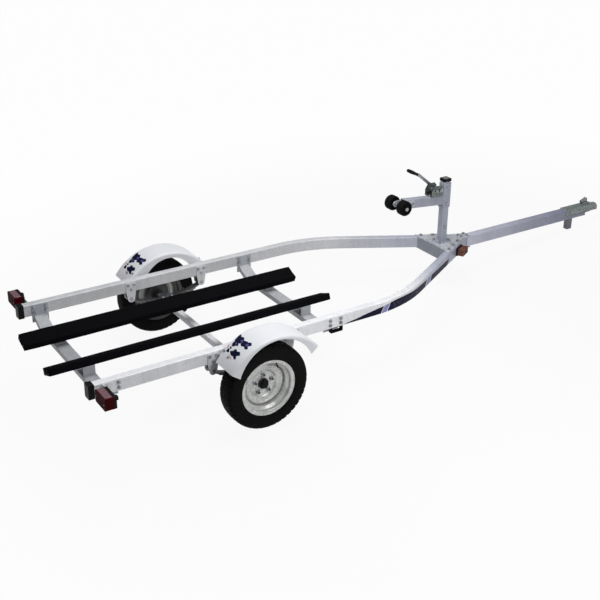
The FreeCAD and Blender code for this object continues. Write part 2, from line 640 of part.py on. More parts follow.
def hangers(word, side):
    plates = []
    pins = []
    for end, sign in (("front", 1), ("rear", -1)):
        x = f"{sign}*eye_offset"
        inner = hanger(f"hanger_{word}_{end}_inner", x)
        outer = hanger(f"hanger_{word}_{end}_outer", x)
        place(inner, x, f"{side}*rail_y - rail_width/2")
        place(outer, x, f"{side}*rail_y + rail_width/2 + hanger_sheet")
        plates += [inner, outer]
        half = "(rail_width/2 + hanger_sheet)"
        centre = f"{side}*rail_y"
        at = (x, EYE_Z)
        rod = cylinder(f"pin_{word}_{end}", "y", at, "pin_radius", f"{centre} - {half}", f"{centre} + {half}")
        sleeve = cylinder(f"sleeve_{word}_{end}", "y", at, "eye_radius - leaf_thickness - pin_clearance",
                          f"{centre} - rail_width/2", f"{centre} + rail_width/2")
        head = hexagon(f"head_{word}_{end}", at, "pin_head", f"{centre} + {half}",
                       f"{centre} + {half} + pin_head_height")
        nut = hexagon(f"nut_{word}_{end}", at, "pin_head", f"{centre} - {half} - pin_head_height",
                      f"{centre} - {half}")
        pins.append(fuse(f"eye_pin_{word}_{end}", rod, sleeve, head, nut))
    keep("spring_hangers_" + word, group("hangers_" + word, *plates))
    return pins


def axle_clamp(word, side):
    """Two U-bolts round the axle and the plate that they pull down on the spring."""
    leg_x = "(axle_size/2 + ubolt_gap + ubolt_radius)"
    leg_y = "(leaf_width/2 + ubolt_gap + ubolt_radius)"
    low = "(wheel_radius - axle_size/2 - ubolt_gap - ubolt_radius)"
    plate_top = f"({LEAF_TOP} + tie_plate)"
    bolts = []
    holes = []
    for end, offset in (("inner", -1), ("outer", 1)):
        y = f"{side}*rail_y + {offset}*{leg_y}"
        legs = [cylinder(f"leg_{word}_{end}_{sign}", "z", (f"{sign}*{leg_x}", y), "ubolt_radius",
                         low, f"{plate_top} + ubolt_tip") for sign in (1, -1)]
        bend = DOC.addObject("Part::Cylinder", f"bend_{word}_{end}")
        bind(bend, Radius="ubolt_radius", Height=f"2*{leg_x}")
        bend.Placement = FreeCAD.Placement(Vector(), FreeCAD.Rotation(Vector(0, 1, 0), 90))
        place(bend, f"-{leg_x}", y, low)
        knuckles = []
        for sign in (1, -1):
            knuckle = DOC.addObject("Part::Sphere", f"knuckle_{word}_{end}_{sign}")
            bind(knuckle, Radius="ubolt_radius")
            knuckles.append(place(knuckle, f"{sign}*{leg_x}", y, low))
            holes.append(cylinder(f"clamp_hole_{word}_{end}_{sign}", "z", (f"{sign}*{leg_x}", y),
                                  "ubolt_radius + pin_clearance", AXLE_TOP, plate_top + " + 1"))
        bolts.append(fuse(f"ubolt_{word}_{end}", *legs, bend, *knuckles))
    plate_half_x = f"({leg_x} + 3*ubolt_radius)"
    plate_half_y = f"({leg_y} + 3*ubolt_radius)"
    centre = f"{side}*rail_y"
    blank = box("tie_plate_" + word, ("-" + plate_half_x, plate_half_x),
                (f"{centre} - {plate_half_y}", f"{centre} + {plate_half_y}"), (LEAF_TOP, plate_top))
    return bolts, cut("tie_plate_cut_" + word, blank, *holes)


def spring_fittings():
    """The pins, clamps and fender arms, each kind kept as one set for both sides."""
    pins, bolts, plates, arms = [], [], [], []
    for word, side in SIDES.items():
        pins += hangers(word, side)
        side_bolts, side_plate = axle_clamp(word, side)
        bolts += side_bolts
        plates.append(side_plate)
        arms += fender_arms(word, side)
    keep("spring_pins", group("spring_pin_set", *pins))
    keep("axle_ubolts", group("axle_ubolt_set", *bolts))
    keep("spring_plates", group("spring_plate_pair", *plates))
    keep("fender_brackets", group("fender_arm_set", *arms))


def tyre_outline():
    """The tyre's section as (radius, width) points: tread, shoulders, walls and the hollow inside."""
    seat, wide = "(rim_seat_radius + 0.2)", "(tyre_width/2)"
    outer = [("wheel_radius", f"0.72*{wide}"), ("wheel_radius - 1.7*tread_depth", f"{wide} - 0.4"),
             (f"{seat} + 0.49*(wheel_radius - {seat})", wide), (seat, "rim_half_width - 12")]
    inner = [("wheel_radius - 3.5*tread_depth", f"{wide} - tyre_wall"), ("wheel_radius - tread_depth", f"0.6*{wide}")]
    half = outer + inner
    other = [(radius, f"-({width})") for radius, width in reversed(half)]
    return lines(*(half + other))


def rim_outlines():
    """The rolled rim and the pressed, ribbed disc, each as (radius, width) points."""
    seat, well, flange = "rim_seat_radius", "rim_well_radius", "rim_flange_radius"
    wide, sheet = "rim_half_width", "rim_sheet"
    outer = [(flange, f"{wide} + 4"), (f"{flange} - 2", f"{wide} + 0.5"), (f"{seat} + 6", f"{wide} - 2"),
             (seat, f"{wide} - 5"), (seat, f"{wide} - 21"), (well, f"{wide} - 33")]
    inner = [(f"{flange} - {sheet}", f"{wide} + 5"), (f"{flange} - 2 - {sheet}", f"{wide} + {sheet}"),
             (f"{seat} + 4", f"{wide} + 0.6"), (f"{seat} - {sheet}", f"{wide} - 3"),
             (f"{seat} - {sheet}", f"{wide} - 20"), (f"{well} - {sheet}", f"{wide} - 32")]

    def other_side(points):
        return [(radius, f"-({width})") for radius, width in reversed(points)]

    rim = lines(*(outer + other_side(outer) + other_side(inner[::-1]) + inner[::-1]))
    ribs = [("pilot_radius", 0), ("hub_flange_radius + 4", 0), ("hub_flange_radius + 12", 9),
            ("hub_flange_radius + 24", 15), ("hub_flange_radius + 31", 15), ("hub_flange_radius + 38", 20),
            ("hub_flange_radius + 44", 20), (f"{well} - 10", 14), (f"{well} - {sheet} + 0.5", 9)]
    face = [(radius, f"disc_sheet - disc_offset + {rise}") for radius, rise in ribs]
    back = [(radius, f"{rise} - disc_offset") for radius, rise in reversed(ribs)]
    return rim, lines(*(face + back))


def stud_spots():
    """The five stud places as (x, z) formulas about the wheel's centre."""
    spots = []
    for index in range(5):
        angle = 90 + 72*index
        spots.append((f"stud_circle_radius*cos({angle})", f"wheel_radius + stud_circle_radius*sin({angle})"))
    return spots


def on_side(side, low, high):
    """A range measured outward from the wheel's middle plane, as a range along Y."""
    if side == LEFT:
        return f"half_track + {low}", f"half_track + {high}"
    return f"-(half_track + {high})", f"-(half_track + {low})"


def wheel(word, side):
    """Tyre, rim with its disc, hub with studs, nuts and the dust cap of one wheel."""
    spots = stud_spots()
    centre_y = f"{side}*half_track"
    tyre = turned("tyre_" + word, tyre_outline())
    keep("tyre_" + word, place(tyre, y=centre_y, z="wheel_radius"))

    rim_outline, disc_outline = rim_outlines()
    rim = turned("rim_" + word, rim_outline)
    disc_section = new_sketch(rim, f"disc_{word}_section", "XY_Plane")
    revolve(rim, draw(disc_section, disc_outline[0], disc_outline[1:]))
    if side == RIGHT:
        rim = flipped(f"rim_{word}_turned", rim)
    place(rim, y=centre_y, z="wheel_radius")
    low, high = on_side(side, "(-disc_offset - 2)", "(-disc_offset + disc_sheet + 2)")
    holes = [cylinder(f"stud_hole_{word}_{index}", "y", spot, "stud_radius + pin_clearance", low, high)
             for index, spot in enumerate(spots)]
    keep("rim_" + word, cut(f"rim_{word}_drilled", rim, *holes))
    hub(word, side, spots)


def flipped(name, solid):
    """A turned piece with its outer side to the right."""
    mirror = DOC.addObject("Part::Mirroring", name)
    mirror.Source = solid
    mirror.Normal = Vector(0, 1, 0)
    return mirror


def hub(word, side, spots):
    """The hub between spindle and wheel, its studs and nuts, and its dust cap."""
    back = "-disc_offset"
    root = "-disc_offset - hub_flange_thickness"
    bore = "spindle_radius + bearing_clearance"
    nose, seat = "hub_nose_y", "cap_seat_y"
    barrel = f"{root} - hub_barrel_length + hub_flange_thickness"
    outline = lines((bore, barrel), ("hub_barrel_radius", barrel), ("hub_barrel_radius + 4", root),
                    ("hub_flange_radius", root), ("hub_flange_radius", back), ("hub_nose_radius", back),
                    ("hub_nose_radius", nose), ("cap_radius + bearing_clearance", nose),
                    ("cap_radius + bearing_clearance", seat), (bore, seat))
    body = turned("hub_" + word, outline)
    if side == RIGHT:
        body = flipped(f"hub_{word}_turned", body)
    place(body, y=f"{side}*half_track", z="wheel_radius")
    studs = []
    nuts = []
    for index, spot in enumerate(spots):
        low, high = on_side(side, f"({root})", "(-disc_offset + disc_sheet + nut_height + stud_tip)")
        studs.append(cylinder(f"stud_{word}_{index}", "y", spot, "stud_radius", low, high))
        low, high = on_side(side, "(-disc_offset + disc_sheet)", "(-disc_offset + disc_sheet + nut_height)")
        nut = hexagon(f"wheel_nut_{word}_{index}", spot, "nut_radius", low, high)
        hole = cylinder(f"wheel_nut_hole_{word}_{index}", "y", spot, "stud_radius", low, high)
        nuts.append(cut(f"wheel_nut_bored_{word}_{index}", nut, hole))
    keep("hub_" + word, fuse(f"hub_{word}_studded", body, *studs))
    keep("wheel_nuts_" + word, group("wheel_nut_set_" + word, *nuts))

    edge, tip = f"{nose} + 2", f"{nose} + cap_length"
    cap = lines(("0", tip), ("cap_radius*0.72", tip), ("cap_radius", f"{tip} - 6"), ("cap_radius", edge),
                ("cap_radius + 3", edge), ("cap_radius + 3", nose), ("cap_radius", nose),
                ("cap_radius", f"{seat} + 1"), ("cap_radius - 3", f"{seat} + 1"), ("cap_radius - 3", f"{tip} - 8"),
                ("cap_radius*0.66", f"{tip} - 4"), ("0", f"{tip} - 4"))
    dust_cap = turned("hub_cap_" + word, cap)
    if side == RIGHT:
        dust_cap = flipped(f"hub_cap_{word}_turned", dust_cap)
    keep("hub_cap_" + word, place(dust_cap, y=f"{side}*half_track", z="wheel_radius"))


# Fenders, lamps and straps

def fender(word, side):
    """A moulded round fender: its top turns down in a skirt inside and a lip outside, both cut in an arch."""
    top, sheet = "fender_radius", "fender_sheet"
    inner, outer = "(fender_inner_y - fender_inner_y)", "(fender_outer_y - fender_inner_y)"
    soft, corner = "fender_round", "(fender_round*(1 - cos(45)))"
    under = f"({soft} - {sheet})"
    deep = f"({sheet} + {under}*(1 - cos(45)))"
    outline = [
        (f"{top} - fender_skirt", inner), ((f"{top} - {soft}", inner),),
        ((f"{top} - {corner}", f"{inner} + {corner}"), (top, f"{inner} + {soft}")),
        ((top, f"{outer} - {soft}"),),
        ((f"{top} - {corner}", f"{outer} - {corner}"), (f"{top} - {soft}", outer)),
        ((f"{top} - fender_lip", outer),), ((f"{top} - fender_lip", f"{outer} - {sheet}"),),
        ((f"{top} - {soft}", f"{outer} - {sheet}"),),
        ((f"{top} - {deep}", f"{outer} - {deep}"), (f"{top} - {sheet}", f"{outer} - {soft}")),
        ((f"{top} - {sheet}", f"{inner} + {soft}"),),
        ((f"{top} - {deep}", f"{inner} + {deep}"), (f"{top} - {soft}", f"{inner} + {sheet}")),
        ((f"{top} - fender_skirt", f"{inner} + {sheet}"),), ((f"{top} - fender_skirt", inner),)]
    body = new_body(f"fender_{word}_body")
    section = draw(new_sketch(body, f"fender_{word}_section", "XY_Plane"), outline[0], outline[1:])
    revolve(body, section, "fender_rear_angle - fender_front_angle", flip=True)
    body.Placement = FreeCAD.Placement(Vector(), FreeCAD.Rotation(Vector(0, 1, 0), -value("fender_front_angle")))
    place(body, "fender_x", "fender_inner_y", "fender_z")
    middle = "((fender_inner_y + fender_outer_y)/2)"
    skirt_arch = cylinder(f"skirt_arch_{word}", "y", ("skirt_arch_x", "skirt_arch_z"), "skirt_arch_radius",
                          "fender_inner_y - 1", middle)
    lip_arch = cylinder(f"lip_arch_{word}", "y", ("lip_arch_x", "lip_arch_z"), "lip_arch_radius",
                        middle, "fender_outer_y + 1")
    opened = cut(f"fender_{word}_opened", body, skirt_arch, lip_arch)
    keep("fender_" + word, opened if side == LEFT else mirrored("fender_mirror", opened))


def fender_arms(word, side):
    """Short channel blocks that carry the fender's skirt: off the rail behind, off the spring's hanger in front."""
    arms = []
    for end, start in (("rear", "rail_outer_half"), ("front", "(rail_outer_half + hanger_sheet)")):
        x, z = f"fender_arm_{end}_x", "fender_arm_z"
        low, high = (start, "fender_inner_y") if side == LEFT else ("-fender_inner_y", "-" + start)
        arms.append(square_tube(f"fender_arm_{word}_{end}", (f"{x} - fender_arm_length/2", f"{x} + fender_arm_length/2"),
                                (low, high), (f"{z} - fender_arm_height/2", f"{z} + fender_arm_height/2"),
                                "fender_arm_wall", "x"))
    return arms


def rounded_block(name, x, y, z, radius):
    """A block with rounded edges along X, as moulded lamps have."""
    body = new_body(name)
    half_y, half_z = f"(({y[1]}) - ({y[0]}))/2", f"(({z[1]}) - ({z[0]}))/2"
    start, steps = rounded_outline(half_y, half_z, radius)
    pad(body, draw(new_sketch(body, name + "_outline", "YZ_Plane"), start, steps), f"({x[1]}) - ({x[0]})")
    return place(body, x[0], f"(({y[0]}) + ({y[1]}))/2", f"(({z[0]}) + ({z[1]}))/2")


def tail_lamps():
    lamps = [tail_lamp(word, side) for word, side in SIDES.items()]
    for index, name in enumerate(("lamp_lenses", "lamp_bases", "lamp_brackets")):
        keep(name, group(name + "_pair", *(lamp[index] for lamp in lamps)))


def tail_lamp(word, side):
    """A box lamp: coloured lens behind, black base in front, on a folded plate from the rail."""
    y = ("lamp_inner_y", "lamp_outer_y") if side == LEFT else ("-lamp_outer_y", "-lamp_inner_y")
    z = ("lamp_bottom_z", "lamp_top_z")
    base_x = "(lamp_rear_x + lens_depth)"
    plate_x = f"({base_x} + lamp_base_depth)"
    lens = rounded_block("lamp_lens_" + word, ("lamp_rear_x", base_x), y, z, "lamp_round")
    base = rounded_block("lamp_base_" + word, (base_x, plate_x), y, z, "lamp_round")
    thick = "lamp_plate"
    rail_face, reach = "rail_outer_half", "(lamp_outer_y - 30)"
    low_z, high_z = "(lamp_bottom_z + 8)", f"({RAIL_TOP} - 8)"
    body = new_body(f"lamp_plate_{word}_body")
    outline = lines((rail_face, low_z), (rail_face, high_z), (reach, high_z), (reach, low_z))
    pad(body, draw(new_sketch(body, f"lamp_plate_{word}_outline", "YZ_Plane"), outline[0], outline[1:]), thick)
    place(body, plate_x)
    foot = box(f"lamp_foot_{word}", (f"{plate_x} + {thick}", f"{plate_x} + lamp_foot"),
               (rail_face, f"{rail_face} + {thick}"), (low_z, high_z))
    whole = fuse(f"lamp_bracket_{word}_whole", body, foot)
    return lens, base, whole if side == LEFT else mirrored("lamp_bracket_mirror", whole)


def side_markers():
    """Amber side lamps on black bases, on the outer faces of the bent rails by the neck."""
    lenses = []
    bases = []
    for word, side in SIDES.items():
        for kind, start, depth, pieces, inset in (
                ("lens", "marker_base", "marker_depth - marker_base", lenses, "3"),
                ("base", "0", "marker_base", bases, "0")):
            name = f"marker_{kind}_{word}"
            block = DOC.addObject("Part::Box", name)
            bind(block, Length=f"marker_length - 2*{inset}", Width=depth, Height=f"marker_height - 2*{inset}")
            turn = FreeCAD.Rotation(Vector(0, 0, 1), -side*value("bend_angle"))
            away = f"(rail_width/2 + {start})" if side == LEFT else f"(-rail_width/2 - ({start}) - ({depth}))"
            back = f"(-marker_distance - marker_length/2 + {inset})"
            block.Placement = FreeCAD.Placement(Vector(), turn)
            sine, cosine = f"({-side}*sin(bend_angle))", "cos(bend_angle)"
            place(block, f"rail_meet_x + {back}*{cosine} - {away}*{sine}",
                  f"{back}*{sine} + {away}*{cosine}", f"rail_centre_z - marker_height/2 + {inset}")
            pieces.append(block)
    keep("side_marker_lenses", group("marker_lenses", *lenses))
    keep("side_marker_bases", group("marker_bases", *bases))


def strap_loops():
    """A coated loop under each rail for a tie-down strap."""
    loops = []
    for word, side in SIDES.items():
        y = f"{side}*rail_y"
        x = ("loop_x - loop_length/2", "loop_x + loop_length/2")
        block = box("loop_" + word, x, (f"{y} - loop_width/2", f"{y} + loop_width/2"),
                    (f"{RAIL_BOTTOM} - loop_height", RAIL_BOTTOM))
        slot = box("loop_slot_" + word, (f"{x[0]} + loop_wall", f"{x[1]} - loop_wall"),
                   (f"{y} - loop_width", f"{y} + loop_width"),
                   (f"{RAIL_BOTTOM} - loop_height + loop_wall", f"{RAIL_BOTTOM} - loop_wall"))
        loops.append(cut("loop_cut_" + word, block, slot))
    keep("strap_loops", group("strap_loop_pair", *loops))


# Winch post, bow rollers and winch

def winch_post():
    half = "post_size/2"
    foot_top = f"({POST_FOOT_Z} + post_foot)"
    foot = box("post_foot_plate", ("post_x - post_foot_length/2", "post_x + post_foot_length/2"),
               ("-post_foot_width/2", "post_foot_width/2"), (POST_FOOT_Z, foot_top))
    tube = round_tube("post_tube", "z", ("post_x", "0"), ("post_size", "post_size"),
                      (foot_top, "post_top_z"), "post_wall")
    keep("winch_post", fuse("winch_post_whole", foot, tube))
    lip = f"({half} + post_cap_lip)"
    cap = box("post_cap_top", (f"post_x - {lip}", f"post_x + {lip}"), (f"-{lip}", lip),
              ("post_top_z", "post_top_z + post_cap_height"))
    inner = f"({half} - tube_round)"
    plug = box("post_cap_plug", (f"post_x - {inner}", f"post_x + {inner}"), (f"-{inner}", inner),
               ("post_top_z - post_cap_height", "post_top_z"))
    keep("post_cap", fuse("post_cap_whole", cap, plug))
    bow_arm(half)
    roller_axle()


def bow_arm(half):
    """The sleeve on the post, the arm welded to it and the two cheeks that carry the bow rollers."""
    outside = f"({half} + sleeve_wall)"
    sleeve = round_tube("arm_sleeve", "z", ("post_x", "0"), (f"2*{outside}", f"2*{outside}"),
                        ("sleeve_bottom_z", "sleeve_top_z"), "sleeve_wall")
    # The arm drops forward: its top passes through the winch's rear edge
    rear_rise = "((winch_rear_x - arm_rear_x)*tan(arm_slope) - arm_height/(2*cos(arm_slope)))"
    arm = round_tube("arm_tube", "x", ("0", f"({ARM_TOP} + {rear_rise})"), ("arm_size", "arm_height"),
                     ("arm_rear_x", "post_x"), "post_wall")
    lean(arm, "arm_slope")
    # Arm and winch seat end a little inside the sleeve's wall, as welded pieces do
    sunk = "(post_wall/2)"
    end = f"(post_x - {outside} + {sunk})"
    inside = box("arm_inside", (end, "post_x + post_size"), ("-arm_size", "arm_size"),
                 ("sleeve_bottom_z - arm_size", "sleeve_top_z + arm_size"))
    trimmed = cut("arm_trimmed", arm, inside)
    start = "(winch_rear_x + seat_set_in)"
    wide = "(arm_size - 3*tube_round)"
    outline = lines((start, ARM_TOP), (end, ARM_TOP),
                    (end, f"{ARM_TOP} - {sunk} - ({end} - winch_rear_x)*tan(arm_slope)"),
                    (start, f"{ARM_TOP} - {sunk} - seat_set_in*tan(arm_slope)"))
    seat = plate("winch_seat", "XZ_Plane", outline, wide, f"-{wide}/2")
    keep("bow_arm", fuse("bow_arm_whole", sleeve, trimmed, seat))
    cheeks = []
    for word, side in SIDES.items():
        low, high = f"({ARM_TOP} - yoke_low)", f"({ARM_TOP} + yoke_high)"
        outline = [("yoke_front_x", low), (("yoke_front_x", high),), (("roller_x", "roller_z + 20"),),
                   (("roller_x - 20", "roller_z"), ("roller_x", "roller_z - 20")), (("yoke_front_x", low),)]
        start = "arm_size/2" if side == LEFT else "-arm_size/2 - yoke_sheet"
        cheek = plate(f"cheek_{word}", "XZ_Plane", outline, "yoke_sheet", start)
        hole = cylinder(f"cheek_hole_{word}", "y", ("roller_x", "roller_z"), "roller_pin_radius + pin_clearance",
                        "-arm_size", "arm_size")
        cheeks.append(cut(f"cheek_cut_{word}", cheek, hole))
    keep("roller_yoke", group("roller_cheeks", *cheeks))


def roller_axle():
    at = ("roller_x", "roller_z")
    inner = "(arm_size/2 + yoke_sheet + roller_gap)"
    end = f"({inner} + roller_width + 1.5)"
    rod = cylinder("roller_rod", "y", at, "roller_pin_radius", "-" + end, end)
    heads = [hexagon(f"roller_rod_nut_{word}", at, "roller_pin_head",
                     end if side == LEFT else f"-{end} - roller_pin_head_height",
                     f"{end} + roller_pin_head_height" if side == LEFT else "-" + end)
             for word, side in SIDES.items()]
    keep("roller_axle", fuse("roller_axle_whole", rod, *heads))
    bore = "roller_pin_radius + bearing_clearance"
    tread, round_in = "roller_radius", "(roller_round*(1 - cos(45)))"
    wide, dish = "roller_width", "roller_dish"
    outline = [(bore, "0"), (("roller_hub_radius", "0"),), (("roller_hub_radius + 4", dish),),
               ((f"{tread} - roller_round - 4", dish),), ((f"{tread} - roller_round", "0"),),
               ((f"{tread} - {round_in}", round_in), (tread, "roller_round")),
               ((tread, f"{wide} - roller_round"),),
               ((f"{tread} - {round_in}", f"{wide} - {round_in}"), (f"{tread} - roller_round", wide)),
               ((f"{tread} - roller_round - 4", f"{wide} - {dish}"),), (("roller_hub_radius + 4", f"{wide} - {dish}"),),
               (("roller_hub_radius", wide),), ((bore, wide),), ((bore, "0"),)]
    for word, side in SIDES.items():
        body = turned("bow_roller_" + word, outline)
        place(body, "roller_x", inner if side == LEFT else f"-{inner} - roller_width", "roller_z")
        keep("bow_roller_" + word, body)


def toothed(name, teeth, centre, low, width, bore, phase):
    """A spur gear along Y. Phase turns it, in teeth, so that a pair meshes."""
    module, count = value("tooth_module"), int(value(teeth))
    pitch = module*count/2
    tip, root = pitch + 0.92*module, pitch - 1.22*module
    step = 2*math.pi/count
    corners = []
    for index in range(count):
        middle = (index + phase)*step
        for radius, share in ((root, -0.34), (pitch, -0.235), (tip, -0.12), (tip, 0.12), (pitch, 0.235), (root, 0.34)):
            angle = middle + share*step
            corners.append(Vector(radius*math.cos(angle), 0, radius*math.sin(angle)))
    face = Part.Face(Part.makePolygon(corners + corners[:1]))
    shape = face.extrude(Vector(0, value(width), 0))
    shape = shape.cut(Part.makeCylinder(value(bore), value(width) + 2, Vector(0, -1, 0), Vector(0, 1, 0)))
    gear = DOC.addObject("Part::Feature", name)
    gear.Shape = shape
    gear.Placement = FreeCAD.Placement(Vector(value(centre[0]), value(low), value(centre[1])), FreeCAD.Rotation())
    return gear


def ratchet(name, centre, low):
    """A saw-toothed wheel on the crank's shaft."""
    count, tip, root = int(value("ratchet_teeth")), value("ratchet_radius"), value("ratchet_root")
    corners = []
    for index in range(count):
        for radius, angle in ((tip, index), (root, index + 0.12)):
            turn = 2*math.pi*angle/count
            corners.append(Vector(radius*math.cos(turn), 0, radius*math.sin(turn)))
    face = Part.Face(Part.makePolygon(corners + corners[:1]))
    wheel_shape = DOC.addObject("Part::Feature", name)
    wheel_shape.Shape = face.extrude(Vector(0, value("ratchet_width"), 0))
    wheel_shape.Placement = FreeCAD.Placement(
        Vector(value(centre[0]), value(low), value(centre[1])), FreeCAD.Rotation())
    return wheel_shape


def winch():
    """A small hand winch: a folded frame, a geared drum and a cranked pinion with its ratchet."""
    shaft = (SHAFT_X, "winch_z")
    drum_centre = ("winch_x", "winch_z")
    outer, inner = "winch_half_width", "(winch_half_width - winch_sheet)"
    floor = box("winch_floor", ("winch_rear_x", "winch_front_x"), (f"-{outer}", outer),
                (ARM_TOP, f"{ARM_TOP} + winch_sheet"))
    sides = []
    for word, side in SIDES.items():
        outline = [("winch_rear_x", f"{ARM_TOP} + 1"), (("winch_rear_x", "winch_z"),),
                   (("winch_rear_x + 22", "winch_top_z"),), (("winch_front_x - 18", "winch_top_z"),),
                   (("winch_front_x", "winch_top_z - 18"),), (("winch_front_x", f"{ARM_TOP} + 1"),),
                   (("winch_rear_x", f"{ARM_TOP} + 1"),)]
        start = inner if side == LEFT else f"-{outer}"
        sides.append(plate(f"winch_side_{word}", "XZ_Plane", outline, "winch_sheet", start))
    folded = fuse("winch_folded", floor, *sides)
    holes = [cylinder("winch_shaft_hole", "y", shaft, "shaft_radius + bearing_clearance", f"-2*{outer}", f"2*{outer}")]
    pin = cylinder("drum_pin", "y", drum_centre, "drum_pin_radius", f"-{outer} - 4", f"{outer} + 4")
    keep("winch_frame", fuse("winch_frame_whole", cut("winch_bored", folded, *holes), pin))

    gear_low = "gear_y - gear_width/2"
    bore = "drum_pin_radius + bearing_clearance"
    gear = toothed("drum_gear", "gear_teeth", drum_centre, gear_low, "gear_width", bore, 0)
    barrel = turned("drum_barrel", lines(
        (bore, "drum_flange_y"), ("drum_flange_radius", "drum_flange_y"),
        ("drum_flange_radius", "drum_flange_y + drum_flange"), ("drum_radius", "drum_flange_y + drum_flange"),
        ("drum_radius", gear_low), (bore, gear_low)))
    place(barrel, drum_centre[0], z=drum_centre[1])
    keep("winch_drum", fuse("winch_drum_whole", barrel, gear))

    pinion = toothed("pinion", "pinion_teeth", shaft, "gear_y - gear_width/2 - 1", "gear_width + 2",
                     "shaft_radius - 1", 0.5)
    rod = cylinder("crank_shaft", "y", shaft, "shaft_radius", "shaft_right_y", "shaft_left_y")
    clicker = ratchet("ratchet_wheel", shaft, "ratchet_y")
    crank_bar = box("crank_bar", ("-crank_width/2", "crank_length + crank_width/2"), ("0", "crank_thickness"),
                    ("-crank_width/2", "crank_width/2"))
    crank_bar.Placement = FreeCAD.Placement(Vector(), FreeCAD.Rotation(Vector(0, 1, 0), -value("crank_angle")))
    grip_x = f"({shaft[0]} + crank_length*cos(crank_angle))"
    grip_z = f"({shaft[1]} + crank_length*sin(crank_angle))"
    turn_x = "(-crank_width/2*cos(crank_angle) + crank_width/2*sin(crank_angle))"
    turn_z = "(-crank_width/2*sin(crank_angle) - crank_width/2*cos(crank_angle))"
    place(crank_bar, f"{shaft[0]} + {turn_x}", "crank_y", f"{shaft[1]} + {turn_z}")
    grip_pin = cylinder("grip_pin", "y", (grip_x, grip_z), "grip_pin_radius", "crank_y + 1",
                        "grip_start_y + grip_length - 3")
    keep("winch_crank", fuse("winch_crank_whole", rod, pinion, clicker, crank_bar, grip_pin))
    hole = "grip_pin_radius + bearing_clearance"
    end = "grip_start_y + grip_length"
    grip = turned("crank_grip", [
        (hole, "grip_start_y"), (("grip_radius - 2", "grip_start_y"),),
        (("grip_radius - 3", "grip_start_y + grip_length*0.2"), ("grip_radius - 1", "grip_start_y + grip_length*0.45")),
        (("grip_radius", "grip_start_y + grip_length*0.7"), ("grip_radius - 2", f"{end} - 4"),),
        (("grip_radius - 5", end),), ((hole, end),), ((hole, "grip_start_y"),)])
    keep("crank_grip", place(grip, grip_x, z=grip_z))

    pawl_plate = plate("pawl_blade", "XZ_Plane", lines(
        ("pawl_x - pawl_width/2", "pawl_z - pawl_width/2"), ("pawl_x + pawl_length", "pawl_z - 2"),
        ("pawl_x + pawl_length", "pawl_z + 3"), ("pawl_x - pawl_width/2", "pawl_z + pawl_width/2")),
        "ratchet_width", "ratchet_y")
    pivot = cylinder("pawl_pivot", "y", ("pawl_x", "pawl_z"), "2.5", "ratchet_y - 1", f"-{outer}")
    keep("winch_pawl", fuse("winch_pawl_whole", pawl_plate, pivot))


# Coupler and foot

def coupler():
    """A pressed coupler over the tongue's front end, with a ball socket and a latch on top."""
    wide = "(tongue_width/2 + coupler_sheet)"
    top = f"({RAIL_TOP} + coupler_sheet)"
    shell = box("coupler_shell", ("coupler_rear_x", "throat_x"), (f"-{wide}", wide),
                (f"{RAIL_TOP} - coupler_skirt", top))
    inside = box("coupler_inside", ("coupler_rear_x - 1", "tongue_front_x"),
                 ("-tongue_width/2", "tongue_width/2"), (f"{RAIL_TOP} - coupler_skirt - 1", RAIL_TOP))
    outer = "(ball_radius + ball_clearance + socket_wall)"
    throat = new_body("coupler_throat")
    outline = lines(("throat_x", f"-{wide}"), ("ball_x", f"-{outer}"), ("ball_x", outer), ("throat_x", wide))
    pad(throat, draw(new_sketch(throat, "throat_outline", "XY_Plane"), outline[0], outline[1:]),
        f"{top} - ({RAIL_TOP} - coupler_skirt)")
    place(throat, z=f"{RAIL_TOP} - coupler_skirt")
    sloped = plate("throat_side", "XZ_Plane", lines(
        ("throat_x", f"{RAIL_TOP} - coupler_skirt"), ("ball_x", "ball_z - socket_lip"),
        ("ball_x", f"ball_z + {outer} - 8"), ("throat_x + 16", top), ("throat_x", top)), f"2*{wide}", f"-{wide}")
    neck_down = common("coupler_throat_sloped", throat, sloped)
    ball_house = cylinder("ball_house", "z", ("ball_x", "0"), outer, "ball_z - socket_lip", "ball_z")
    dome = DOC.addObject("Part::Sphere", "ball_dome")
    dome.Angle1 = 0
    bind(dome, Radius=outer)
    place(dome, "ball_x", "0", "ball_z")
    hollow = DOC.addObject("Part::Sphere", "ball_hollow")
    bind(hollow, Radius="ball_radius + ball_clearance")
    place(hollow, "ball_x", "0", "ball_z")
    entry = cylinder("ball_entry", "z", ("ball_x", "0"), "ball_radius + ball_clearance", "ball_z - 2*socket_lip",
                     "ball_z")
    body = fuse("coupler_whole", shell, neck_down, ball_house, dome)
    keep("coupler_body", cut("coupler_cut", body, inside, hollow, entry))
    lever = [("latch_x - latch_width", top), (("latch_x - latch_width/2", f"{top} + latch_height*0.55"),),
             (("latch_x - 2.4*latch_width", f"{top} + latch_height*0.5"),),
             (("latch_x - 2.4*latch_width", f"{top} + latch_height*0.66"),),
             (("latch_x - latch_width/2", f"{top} + latch_height*0.85"),),
             (("latch_x", f"{top} + latch_height"), ("latch_x + latch_width/2", f"{top} + latch_height*0.85")),
             (("latch_x + latch_width", top),), (("latch_x - latch_width", top),)]
    keep("coupler_latch", plate("latch_lever", "XZ_Plane", lever, "latch_width", "-latch_width/2"))
    keep("tongue_foot", round_tube("tongue_foot", "z", ("foot_x", "0"), ("foot_length", "foot_width"),
                                   ("foot_bottom_z", RAIL_BOTTOM), "foot_wall"))


